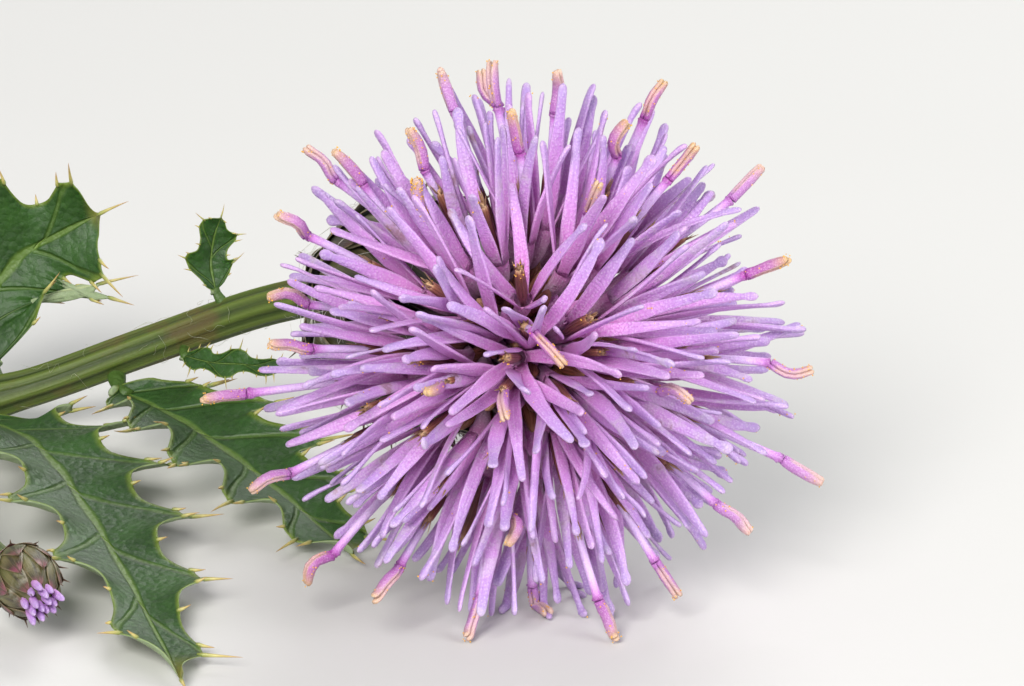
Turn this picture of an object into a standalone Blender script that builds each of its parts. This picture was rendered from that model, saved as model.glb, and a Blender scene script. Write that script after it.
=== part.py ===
"""A creeping thistle flower head, picked on a short leafy stem and laid on its side.

The head lies on the tips of its lower florets, and the stem's cut end and the leaves touch the
surface. Everything in the head is worked out from its focus, the point that the florets fan out
from, with the head's own +Z along its axis and out of its face.
"""

import math

import bmesh
import bpy
from mathutils import Matrix, Vector

MM = 0.001
DEG = math.pi / 180

# How the picked flower lies.
FACE_TURN = 28 * DEG          # the face looks this far to the right of -Y
FACE_RISE = 5 * DEG           # and this far above the level
FOCUS_HEIGHT = 10.6 * MM      # of the focus above the surface
VIEW_RISE = 18 * DEG          # the clock angles below are read facing the flower from this high
SKIN = 0.04 * MM              # a floret that bends along the surface stays this far above it

# The flower head.
DOME_EDGE = 99 * DEG          # the outermost florets lean this far from the axis
LIMB_NEAR = 4.4 * MM          # focus to a floret's throat, at the head's centre
LIMB_FAR = 6.2 * MM           # and at its rim
FLORETS = 41
TUBE_RADIUS = 0.15 * MM
OVARY_RADIUS = 0.21 * MM
TUBE_RISE = 5 * MM            # a floret's tube leaves its seat straight up, and bends over this far
TUBE_LEAD = 3.4 * MM          # and comes into line with its limb over this far
THROAT_RADIUS = 0.42 * MM
ANTHER_RADIUS = 0.19 * MM
ANTHER_LENGTH = 2.4 * MM
STYLE_RADIUS = 0.13 * MM
STYLE_TIP_RADIUS = 0.21 * MM
STYLE_TIP_LENGTH = 1.7 * MM
LOBES = 5
LOBE_LENGTH = 4.2 * MM
LOBE_WIDTH = 0.74 * MM
LOBE_THICKNESS = 0.2 * MM
LOBE_ROWS = 3
LOBE_START = 10 * DEG         # a lobe leaves the throat at this angle to the floret's axis
LOBE_SPREAD = 38 * DEG        # and ends at this one, where its neighbours leave it room
LOBE_CLEARANCE = 0.96 * MM    # between the middle lines of two florets' lobes
ROD_CLEARANCE = 0.66 * MM     # between the middle lines of a lobe and another floret's style
OPENINGS = (1.0, 0.85, 0.7, 0.55, 0.4, 0.25, 0.1)   # shares of the spread that a lobe may take
TURNS = (0, 12, 24, 36, 48, 60)                     # degrees that a star of lobes may turn

# Florets whose style has grown out, read round the face as on a clock: degrees anticlockwise
# from three o'clock, lean away from the eye in degrees, and the style's length past the throat.
GROWN_STYLES = (
    (359, 80, 6.6), (20, 74, 6.4), (38, 86, 6.6), (52, 66, 6.2), (64, 84, 6.8),
    (84, 76, 6.2), (96, 94, 6.4), (107, 78, 6.6), (120, 66, 5.4), (137, 80, 7.0),
    (151, 72, 6.8), (166, 78, 5.6), (178, 62, 6.0), (188, 82, 8.0), (206, 78, 7.2),
    (224, 84, 7.6), (238, 72, 6.6), (257, 78, 6.4), (270, 92, 5.6), (285, 74, 7.2),
    (301, 78, 6.6), (322, 80, 6.6), (338, 86, 7.8), (344, 46, 5.2), (68, 50, 4.6),
    (262, 56, 4.4),
)

# The receptacle and the bracts round it, as heights on the head's axis.
SEAT_RADIUS = 3.1 * MM
SEAT_HEIGHT = -11.0 * MM
SEAT_GAP = 0.25 * MM
INVOLUCRE = (                 # the outline of the bract cup: height, radius
    (-14.3 * MM, 1.9 * MM), (-13.4 * MM, 4.2 * MM), (-11.0 * MM, 5.4 * MM),
    (-7.5 * MM, 5.6 * MM), (-4.2 * MM, 5.0 * MM), (-2.0 * MM, 4.6 * MM),
)
BRACT_THICKNESS = 0.32 * MM
BRACTS_IN_RING = 6
RINGS = (                     # name, foot and top as shares of the outline, inset, half width
    ("inner_bract", 0.10, 0.88, 0.86 * MM, 26.0),
    ("outer_bract", 0.05, 0.74, 0.20 * MM, 25.0),
)

# The stem, from the head to its cut end.
STEM_RADIUS = 0.93 * MM
STEM_LINE = (
    (-8.7 * MM, 16.4 * MM, 8.2 * MM), (-12.4 * MM, 19.2 * MM, 6.5 * MM),
    (-17.6 * MM, 20.6 * MM, 4.2 * MM), (-23.4 * MM, 20.6 * MM, 2.1 * MM),
    (-29.0 * MM, 20.0 * MM, 1.15 * MM), (-35.5 * MM, 19.3 * MM, 0.97 * MM),
    (-43.0 * MM, 18.6 * MM, 0.97 * MM),
)

# Leaves, each by its midrib from the foot to the tip, its widest, and the way its face looks.
LEAF_THICKNESS = 0.3 * MM
LEAVES = (
    ("leaf_standing", 10.0 * MM, (0.1, -1, 0.25), (
        (-24.6, 21.9, 2.9), (-25.0, 23.4, 5.0), (-23.4, 24.3, 7.4), (-19.6, 24.0, 9.6))),
    ("leaf_forward", 9.0 * MM, (0.1, 0.1, 1), (
        (-25.0, 18.6, 1.5), (-21.8, 13.0, 2.0), (-18.2, 3.0, 1.2), (-14.2, -11.5, 0.4))),
    ("leaf_under_head", 8.0 * MM, (-0.1, 0.1, 1), (
        (-18.6, 19.0, 2.7), (-15.4, 15.2, 2.4), (-11.4, 9.8, 1.4), (-7.6, 3.4, 0.4))),
    ("leaf_small_upper", 2.6 * MM, (0.2, -1, 0.2), (
        (-14.2, 19.9, 7.1), (-14.4, 20.2, 8.2), (-14.3, 20.3, 9.4), (-13.9, 20.2, 10.6))),
    ("leaf_small_lower", 1.5 * MM, (0.1, -1, 0.5), (
        (-15.7, 18.9, 4.4), (-14.4, 17.9, 4.4), (-12.6, 16.9, 4.6), (-10.6, 15.9, 4.7))),
)
BUD_LINE = (                  # the side bud's stalk and axis
    (-27.0, 18.8, 1.6), (-26.8, 12.0, 2.4), (-24.2, 3.0, 2.3), (-21.6, -3.0, 2.2), (-20.4, -6.6, 2.2),
)
BUD_RADIUS = 1.5 * MM
LEAF_TEETH = 4                # lobes on each side of a leaf


def clear_scene():
    for obj in list(bpy.data.objects):
        bpy.data.objects.remove(obj)


def material(name, colour, roughness):
    made = bpy.data.materials.new(name)
    made.use_nodes = True
    shader = made.node_tree.nodes["Principled BSDF"]
    shader.inputs["Base Color"].default_value = (*colour, 1)
    shader.inputs["Roughness"].default_value = roughness
    shader.inputs["Metallic"].default_value = 0
    return made


def smooth_line(points, per_span):
    """Points along a Catmull-Rom curve through these points."""
    ends = [2 * points[0] - points[1], *points, 2 * points[-1] - points[-2]]
    line = []
    for a, b, c, d in zip(ends, ends[1:], ends[2:], ends[3:]):
        for step in range(per_span):
            t = step / per_span
            line.append(
                0.5 * ((2 * b) + (c - a) * t + (2 * a - 5 * b + 4 * c - d) * t**2
                       + (3 * b - a - 3 * c + d) * t**3)
            )
    return [*line, points[-1]]


def add_object(name, data, collection, finish, parent=None):
    obj = bpy.data.objects.new(name, data)
    collection.objects.link(obj)
    obj.parent = parent
    data.materials.append(finish)
    return obj


def rod_mesh(name, points, radii, sides_setting):
    """A closed rod of changing radius along these points, as a welded mesh."""
    curve = bpy.data.curves.new(name, "CURVE")
    curve.dimensions = "3D"
    curve.bevel_depth = 1.0
    curve.bevel_resolution = sides_setting
    curve.use_fill_caps = True
    spline = curve.splines.new("POLY")
    spline.points.add(len(points) - 1)
    for knot, place, radius in zip(spline.points, points, radii):
        knot.co = (*place, 1)
        knot.radius = radius
    guide = bpy.data.objects.new(name, curve)
    bpy.context.scene.collection.objects.link(guide)
    graph = bpy.context.evaluated_depsgraph_get()
    mesh = bpy.data.meshes.new_from_object(guide.evaluated_get(graph), depsgraph=graph)
    bpy.data.objects.remove(guide)
    shape = bmesh.new()
    shape.from_mesh(mesh)
    bmesh.ops.remove_doubles(shape, verts=shape.verts, dist=0.001 * MM)
    shape.to_mesh(mesh)
    shape.free()
    return mesh


def solidify(obj, thickness):
    wall = obj.modifiers.new("Thickness", "SOLIDIFY")
    wall.thickness = thickness
    wall.offset = 0
    wall.use_rim = True


# ---- The head's place -------------------------------------------------------------------------

def head_turn():
    """The rotation from the head's own axes to the world's."""
    axis = Vector((
        math.sin(FACE_TURN) * math.cos(FACE_RISE),
        -math.cos(FACE_TURN) * math.cos(FACE_RISE),
        math.sin(FACE_RISE),
    ))
    right = Vector((0, 0, 1)).cross(axis).normalized()
    return Matrix((right, axis.cross(right), axis)).transposed()


TURN = head_turn()
UP_IN_HEAD = TURN.transposed() @ Vector((0, 0, 1))


def bent_at_surface(points, room):
    """The same line, laid along the surface under the flower where it would come nearer than room."""
    line = [points[0]]
    for before, after in zip(points, points[1:]):
        step = after - before
        place = line[-1] + step
        height = line[-1].dot(UP_IN_HEAD) + FOCUS_HEIGHT
        if place.dot(UP_IN_HEAD) + FOCUS_HEIGHT < room:
            down = max(room - height, -step.length)
            level = step + Vector((0, 0, 0.3)) * step.length
            level = (level - UP_IN_HEAD * level.dot(UP_IN_HEAD)).normalized()
            place = line[-1] + UP_IN_HEAD * down + level * math.sqrt(step.length**2 - down**2)
        line.append(place)
    return line


def clock_direction(clock, lean):
    """The direction in the head that shows at this clock angle and leans this far from the eye."""
    eye = Vector((0, -math.cos(VIEW_RISE), math.sin(VIEW_RISE)))
    right = Vector((1, 0, 0))
    up = eye.cross(right)
    across = right * math.cos(clock * DEG) + up * math.sin(clock * DEG)
    world = eye * math.cos(lean * DEG) + across * math.sin(lean * DEG)
    return (TURN.transposed() @ world).normalized()


# ---- The florets ------------------------------------------------------------------------------

def dome_directions(count):
    """Directions spread evenly over the dome of florets, on a golden angle spiral."""
    golden = math.pi * (3 - math.sqrt(5))
    found = []
    for k in range(count):
        height = 1 - (1 - math.cos(DOME_EDGE)) * (k + 0.5) / count
        across = math.sqrt(1 - height * height)
        found.append(Vector((across * math.cos(k * golden), across * math.sin(k * golden), height)))
    return found


def floret_directions():
    """The grown florets' directions, then others that each fill the widest gap left."""
    chosen = [clock_direction(clock, lean) for clock, lean, _ in GROWN_STYLES]
    free = dome_directions(600)
    closeness = [max(d.dot(c) for c in chosen) for d in free]
    while len(chosen) < FLORETS:
        k = closeness.index(min(closeness))
        chosen.append(free[k])
        closeness = [max(n, d.dot(free[k])) for n, d in zip(closeness, free)]
    return chosen


def seats(directions):
    """A place on the receptacle for each floret, pushed apart until the ovaries have room."""
    places = []
    for d in directions:
        share = math.acos(max(-1.0, min(1.0, d.z))) / DOME_EDGE
        places.append(Vector((d.x, d.y)).normalized() * share * SEAT_RADIUS)
    room = 2 * OVARY_RADIUS + 0.2 * MM
    for _ in range(60):
        for i, a in enumerate(places):
            for b in places[i + 1:]:
                apart = a - b
                if apart.length < room:
                    push = apart.normalized() * (room - apart.length) / 2
                    a += push
                    b -= push
        for a in places:
            a *= min(1.0, SEAT_RADIUS / a.length)
    return [Vector((a.x, a.y, SEAT_HEIGHT)) for a in places]


def throat_of(direction):
    lean = math.acos(max(-1.0, min(1.0, direction.z)))
    reach = LIMB_NEAR + (LIMB_FAR - LIMB_NEAR) * min(1.0, math.sin(lean)) ** 2
    return direction * reach


def bezier(a, b, c, d, t):
    s = 1 - t
    return a * s**3 + b * 3 * s * s * t + c * 3 * s * t * t + d * t**3


def lobe_line(throat, direction, side, spread, steps):
    """The middle line of one lobe, which leaves the throat and bends outwards evenly."""
    place = throat + side * THROAT_RADIUS * 0.8
    line = [place]
    for step in range(steps):
        angle = LOBE_START + (spread - LOBE_START) * (step + 0.5) / steps
        place = place + (direction * math.cos(angle) + side * math.sin(angle)) * (LOBE_LENGTH / steps)
        line.append(place)
    across = abs(direction.cross(side).dot(UP_IN_HEAD))
    return bent_at_surface(line, SKIN + LOBE_THICKNESS / 2 + across * LOBE_WIDTH / 2)


def star_sides(direction, turn):
    """The five directions, square to the floret's axis, in which its lobes spread."""
    first = direction.orthogonal().normalized()
    other = direction.cross(first)
    angles = [turn + 2 * math.pi * k / LOBES for k in range(LOBES)]
    return [first * math.cos(angle) + other * math.sin(angle) for angle in angles]


def nearest(points, others):
    return min(((p - q).length for p in points for q in others), default=1.0)


def lobe_that_fits(throat, direction, side, lobes, rods):
    """The widest spread at which a lobe clears other florets' lobes and styles, and its line."""
    for share in OPENINGS:
        line = lobe_line(throat, direction, side, share * LOBE_SPREAD, 9)
        if nearest(line, lobes) > LOBE_CLEARANCE and nearest(line, rods) > ROD_CLEARANCE:
            return share, line
    return 0.0, line


def open_star(throat, direction, lobes, rods):
    """The turn at which a floret's five lobes open widest, their spreads and their lines' points."""
    best = None
    for turn in [degrees * DEG for degrees in TURNS]:
        fits = [lobe_that_fits(throat, direction, side, lobes, rods)
                for side in star_sides(direction, turn)]
        worth = min(share for share, _ in fits) + 0.1 * sum(share for share, _ in fits)
        if best is None or worth > best[0]:
            spreads = [share * LOBE_SPREAD for share, _ in fits]
            best = (worth, turn, spreads, [p for _, line in fits for p in line])
    return best


def star_sheet(throat, direction, turn, spreads):
    """The corolla's limb: a five sided throat, whose every side is drawn out into a lobe."""
    sheet = bmesh.new()
    sides = star_sides(direction, turn)
    first = star_sides(direction, turn + 18 * DEG)[0]
    facing = Matrix((first, direction.cross(first), direction)).transposed().to_4x4()
    ring = bmesh.ops.create_circle(
        sheet, cap_ends=True, segments=LOBES, radius=THROAT_RADIUS,
        matrix=Matrix.Translation(throat) @ facing,
    )
    edges = list({edge for vert in ring["verts"] for edge in vert.link_edges})
    for edge in edges:
        middle = (edge.verts[0].co + edge.verts[1].co) / 2
        k = max(range(LOBES), key=lambda j: (middle - throat).dot(sides[j]))
        side = sides[k]
        line = lobe_line(throat, direction, side, spreads[k], LOBE_ROWS)
        across = (edge.verts[1].co - edge.verts[0].co).normalized()
        last = edge
        for row in range(1, LOBE_ROWS + 1):
            made = bmesh.ops.extrude_edge_only(sheet, edges=[last])["geom"]
            ends = [v for v in made if isinstance(v, bmesh.types.BMVert)]
            last = next(e for e in made if isinstance(e, bmesh.types.BMEdge))
            away = (line[row] - throat).dot(side)
            half = min(LOBE_WIDTH / 2, 0.7 * away) * (1.0 if row < LOBE_ROWS else 0.55)
            for vert in ends:
                way = 1 if (vert.co - middle).dot(across) > 0 else -1
                vert.co = line[row] + across * way * half
            middle = line[row]
    mesh = bpy.data.meshes.new("limb")
    bmesh.ops.recalc_face_normals(sheet, faces=sheet.faces)
    sheet.to_mesh(mesh)
    sheet.free()
    return mesh


def floret_rod(seat, throat, direction, style_length):
    """The ovary, the tube up to the throat, the anthers and any style, as one rod's line."""
    rise = seat + Vector((0, 0, TUBE_RISE))
    lead = throat - direction * TUBE_LEAD
    line, radii = [], []
    for t, radius in ((0, 0.7 * OVARY_RADIUS), (0.1, OVARY_RADIUS), (0.22, TUBE_RADIUS),
                      (0.5, TUBE_RADIUS), (0.72, TUBE_RADIUS), (0.92, 1.2 * TUBE_RADIUS),
                      (1, 0.8 * THROAT_RADIUS)):
        line.append(bezier(seat, rise, lead, throat, t))
        radii.append(radius)
    line += [throat + direction * 0.35 * MM, throat + direction * ANTHER_LENGTH]
    radii += [ANTHER_RADIUS, ANTHER_RADIUS]
    if style_length:
        ring = style_length - STYLE_TIP_LENGTH
        for along, radius in ((ANTHER_LENGTH + 0.2 * MM, STYLE_RADIUS), (ring - 0.2 * MM, STYLE_RADIUS),
                              (ring, STYLE_TIP_RADIUS), (style_length, 0.5 * STYLE_TIP_RADIUS)):
            line.append(throat + direction * along)
            radii.append(radius)
    return bent_at_surface(line, SKIN + 0.7 * STYLE_TIP_RADIUS), radii


def join(obj, other_mesh, name):
    """Makes another mesh part of this object, by a Boolean union with a hidden helper."""
    helper = bpy.data.objects.new(name, other_mesh)
    HELPERS.objects.link(helper)
    helper.parent = obj.parent
    helper.location = obj.location
    helper.hide_render = True
    helper.display_type = "WIRE"
    union = obj.modifiers.new("Join", "BOOLEAN")
    union.operation = "UNION"
    union.solver = "EXACT"
    union.object = helper


def build_florets(head, petal):
    directions = floret_directions()
    throats = [throat_of(direction) for direction in directions]
    styles = [length * MM for _, _, length in GROWN_STYLES]
    styles += [0] * (len(directions) - len(styles))
    rods = [floret_rod(*parts) for parts in zip(seats(directions), throats, directions, styles)]
    points = [[a.lerp(b, i / 8) for a, b in zip(line[6:], line[7:]) for i in range(9)]
              for line, _ in rods]
    lobes = list(throats)
    for k, (direction, throat) in enumerate(zip(directions, throats)):
        others = [p for j, line in enumerate(points) if j != k for p in line]
        near = [p for p in lobes if p != throat and (p - throat).length < 12 * MM]
        near_rods = [p for p in others if (p - throat).length < 7 * MM]
        _, turn, spreads, found = open_star(throat, direction, near, near_rods)
        lobes += found
        name = f"floret_{k + 1:02d}"
        limb = add_object(name, star_sheet(throat, direction, turn, spreads), PARTS, petal, head)
        solidify(limb, LOBE_THICKNESS)
        join(limb, rod_mesh(name + "_rod", *rods[k], 0), name + "_rod")


# ---- The bracts -------------------------------------------------------------------------------

def outline_point(share, inset):
    """Radius and height on the bract cup's outline, this share of the way up and this far inside."""
    line = smooth_line([Vector((r, h)) for h, r in INVOLUCRE], 12)
    k = min(int(share * (len(line) - 1)), len(line) - 2)
    along = (line[k + 1] - line[k]).normalized()
    place = line[k].lerp(line[k + 1], share * (len(line) - 1) - k)
    return place + Vector((-along.y, along.x)) * inset


def bract_mesh(foot, top, inset, half_width, around):
    """A pointed scale that follows the cup's outline, over its half width in degrees each way."""
    sheet = bmesh.new()
    bmesh.ops.create_grid(sheet, x_segments=2, y_segments=5, size=1)
    for vert in sheet.verts:
        across, up = vert.co.x, (vert.co.y + 1) / 2
        taper = 1 if up < 0.55 else 1 - 0.86 * ((up - 0.55) / 0.45) ** 1.4
        angle = around + across * half_width * DEG * taper
        radius, height = outline_point(foot + (top - foot) * up, inset)
        vert.co = Vector((radius * math.cos(angle), radius * math.sin(angle), height))
    mesh = bpy.data.meshes.new("bract")
    sheet.to_mesh(mesh)
    sheet.free()
    return mesh


def build_bracts(head, green):
    step = 2 * math.pi / BRACTS_IN_RING
    for ring, (name, foot, top, inset, half_width) in enumerate(RINGS):
        for k in range(BRACTS_IN_RING):
            around = step * (k + 0.5 * ring)
            mesh = bract_mesh(foot, top, inset, half_width, around)
            bract = add_object(f"{name}_{k + 1}", mesh, PARTS, green, head)
            solidify(bract, BRACT_THICKNESS)


# ---- The stem and leaves ----------------------------------------------------------------------

def head_point(height):
    """A point on the head's axis, in the world."""
    return TURN @ Vector((0, 0, height)) + Vector((0, 0, FOCUS_HEIGHT))


def stem_points():
    start = head_point(-15.0 * MM)
    return smooth_line([head_point(-14.2 * MM), start, *[Vector(p) for p in STEM_LINE]], 3)


def build_stem(root, green):
    """The stem, which swells at its top into the receptacle that the florets sit on."""
    top = SEAT_HEIGHT - SEAT_GAP
    flare = ((top, 3.2 * MM), (top - 0.4 * MM, 3.2 * MM), (top - 1.2 * MM, 2.4 * MM),
             (top - 2.0 * MM, 1.2 * MM), (top - 2.4 * MM, 1.0 * MM))
    line = [head_point(height) for height, _ in flare]
    radii = [radius for _, radius in flare]
    rest = stem_points()[1:]
    stem = add_object("stem", rod_mesh("stem", line + rest, radii + [STEM_RADIUS] * len(rest), 3),
                      PARTS, green, root)
    stem.data.shade_smooth()


def leaf_reach(row, rows):
    """How far a leaf's margin reaches at this row: a lance shape cut in between its lobes."""
    along = row / rows
    body = math.sin(math.pi * (0.14 + 0.8 * along)) ** 0.8
    return body * (1.0 if row % 2 else 0.52) if row < rows else 0.06


def leaf_mesh(midrib, width, facing):
    """A leaf about its midrib, a little folded, that lies on the surface where it would pass it."""
    rows = 2 * LEAF_TEETH + 2
    line = smooth_line([Vector(p) * MM for p in midrib], 4)
    sheet = bmesh.new()
    bmesh.ops.create_grid(sheet, x_segments=2, y_segments=rows, size=1)
    for vert in sheet.verts:
        row = round((vert.co.y + 1) / 2 * rows)
        k = row / rows * (len(line) - 1)
        low = min(int(k), len(line) - 2)
        along = (line[low + 1] - line[low]).normalized()
        across = along.cross(Vector(facing)).normalized()
        up = across.cross(along)
        out = vert.co.x * width / 2 * leaf_reach(row, rows)
        place = line[low].lerp(line[low + 1], k - low) + across * out + up * abs(out) * 0.3
        vert.co = Vector((place.x, place.y, max(place.z, LEAF_THICKNESS / 2 + SKIN)))
    mesh = bpy.data.meshes.new("leaf")
    sheet.to_mesh(mesh)
    sheet.free()
    return mesh


def build_leaves(root, green):
    for name, width, facing, midrib in LEAVES:
        leaf = add_object(name, leaf_mesh(midrib, width, facing), PARTS, green, root)
        solidify(leaf, LEAF_THICKNESS)


def build_bud(root, green):
    """The side bud on its stalk: a rod that swells at its end."""
    line = smooth_line([Vector(p) * MM for p in BUD_LINE], 4)
    radii = [0.4 * MM] * (len(line) - 5)
    radii += [share * BUD_RADIUS for share in (0.45, 0.86, 1.0, 0.72, 0.3)]
    bud = add_object("side_bud", rod_mesh("side_bud", line, radii, 1), PARTS, green, root)
    bud.data.shade_smooth()


def rest_on_origin(root):
    """Moves the whole flower so that the origin is at the middle of its underside."""
    bpy.context.view_layer.update()
    graph = bpy.context.evaluated_depsgraph_get()
    points = []
    for obj in PARTS.objects:
        shown = obj.evaluated_get(graph)
        mesh = shown.to_mesh()
        points += [shown.matrix_world @ vert.co for vert in mesh.vertices]
        shown.to_mesh_clear()
    low = Vector([min(p[i] for p in points) for i in range(3)])
    high = Vector([max(p[i] for p in points) for i in range(3)])
    root.location = (-(low.x + high.x) / 2, -(low.y + high.y) / 2, -low.z)


clear_scene()
PARTS = bpy.data.collections.new("Thistle flower")
HELPERS = bpy.data.collections.new("Helpers")
bpy.context.scene.collection.children.link(PARTS)
bpy.context.scene.collection.children.link(HELPERS)
ROOT = bpy.data.objects.new("Flower", None)
HEAD = bpy.data.objects.new("Head", None)
for empty in (ROOT, HEAD):
    bpy.context.scene.collection.objects.link(empty)
HEAD.parent = ROOT
HEAD.location = (0, 0, FOCUS_HEIGHT)
HEAD.rotation_euler = TURN.to_euler()

build_florets(HEAD, material("petal", (0.62, 0.36, 0.78), 0.55))
build_bracts(HEAD, material("bract", (0.14, 0.12, 0.09), 0.7))
build_stem(ROOT, material("stem", (0.12, 0.19, 0.04), 0.6))
build_leaves(ROOT, material("leaf", (0.06, 0.2, 0.03), 0.5))
build_bud(ROOT, material("bud", (0.2, 0.14, 0.12), 0.7))
rest_on_origin(ROOT)
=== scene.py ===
import math

import bpy
import numpy as np
from mathutils import Matrix


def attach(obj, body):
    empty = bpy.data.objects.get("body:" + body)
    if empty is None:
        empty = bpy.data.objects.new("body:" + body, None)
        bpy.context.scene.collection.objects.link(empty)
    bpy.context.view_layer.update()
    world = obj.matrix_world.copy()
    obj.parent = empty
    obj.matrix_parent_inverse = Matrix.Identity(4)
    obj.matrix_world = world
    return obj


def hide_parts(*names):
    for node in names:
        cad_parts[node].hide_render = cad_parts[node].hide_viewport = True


# A creeping thistle flower head, picked on a short leafy stem and laid on its side.
# Lengths here are in millimetres and angles in degrees, unless a note says otherwise.

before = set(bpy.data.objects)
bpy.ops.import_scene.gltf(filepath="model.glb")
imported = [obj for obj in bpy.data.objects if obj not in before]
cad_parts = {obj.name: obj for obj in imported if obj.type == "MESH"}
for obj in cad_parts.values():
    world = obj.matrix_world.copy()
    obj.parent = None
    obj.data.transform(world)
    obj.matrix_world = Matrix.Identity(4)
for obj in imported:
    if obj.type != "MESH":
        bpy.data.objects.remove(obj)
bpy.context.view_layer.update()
mm = 0.001
lowest = 0.004                 # no point of a piece lies lower than this
goldenAngle = math.pi * (3 - math.sqrt(5))     # in radians
print("frame loaded:", len(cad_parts), "solids")


# Vectors and curves, worked out as whole arrays.

def profile(*values):
    # values for the rows of a grid, the same for every shape and all the way round
    return np.array(values, float)[None, :, None]


def unit(vectors):
    # each vector divided by its own length
    return vectors / np.maximum(np.linalg.norm(vectors, axis=-1, keepdims=True), 1e-12)


def dots(a, b):
    # the products of the coordinates added up, with the last axis kept
    return (a * b).sum(axis=-1, keepdims=True)


def squareTo(vectors, tangents):
    # what is left of each vector after its part along the tangent is taken off, at unit length
    return unit(vectors - tangents * dots(vectors, tangents))


def softStep(values, start, end):
    # 0 before start, 1 past end, and 3t^2 - 2t^3 between
    t = np.clip((values - start) / (end - start), 0, 1)
    return t * t * (3 - 2 * t)


def throughKnots(knots, count):
    # Catmull-Rom: a span blends its two knots with slopes taken from the knots on either side
    knots = np.asarray(knots, float)
    ends = np.vstack([2 * knots[0] - knots[1], knots, 2 * knots[-1] - knots[-2]])
    place = np.linspace(0, len(knots) - 1, count)
    span = np.minimum(place.astype(int), len(knots) - 2)
    t = (place - span)[:, None]
    a, b, c, d = (ends[span + k] for k in range(4))
    return 0.5 * (2 * b + (c - a) * t + (2 * a - 5 * b + 4 * c - d) * t**2
                  + (3 * b - a - 3 * c + d) * t**3)


def bezier(a, b, c, d, t):
    # the cubic that leaves a towards b and reaches d from c
    s = 1 - t
    return a * s**3 + 3 * b * s * s * t + 3 * c * s * t * t + d * t**3


def tangentsOf(lines):
    # the direction from each point's neighbour before it to the one after it
    return unit(np.gradient(lines, axis=-2))


def anySquare(vectors):
    # a direction square to each vector, from whichever fixed direction is less in line with it
    flat = np.abs(vectors[..., 2:3]) > 0.8
    return squareTo(np.where(flat, [1.0, 0.0, 0.0], [0.0, 0.0, 1.0]), vectors)


# Pieces: each gathers closed grids of points, and becomes one mesh with its own unwrapped map.

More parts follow.
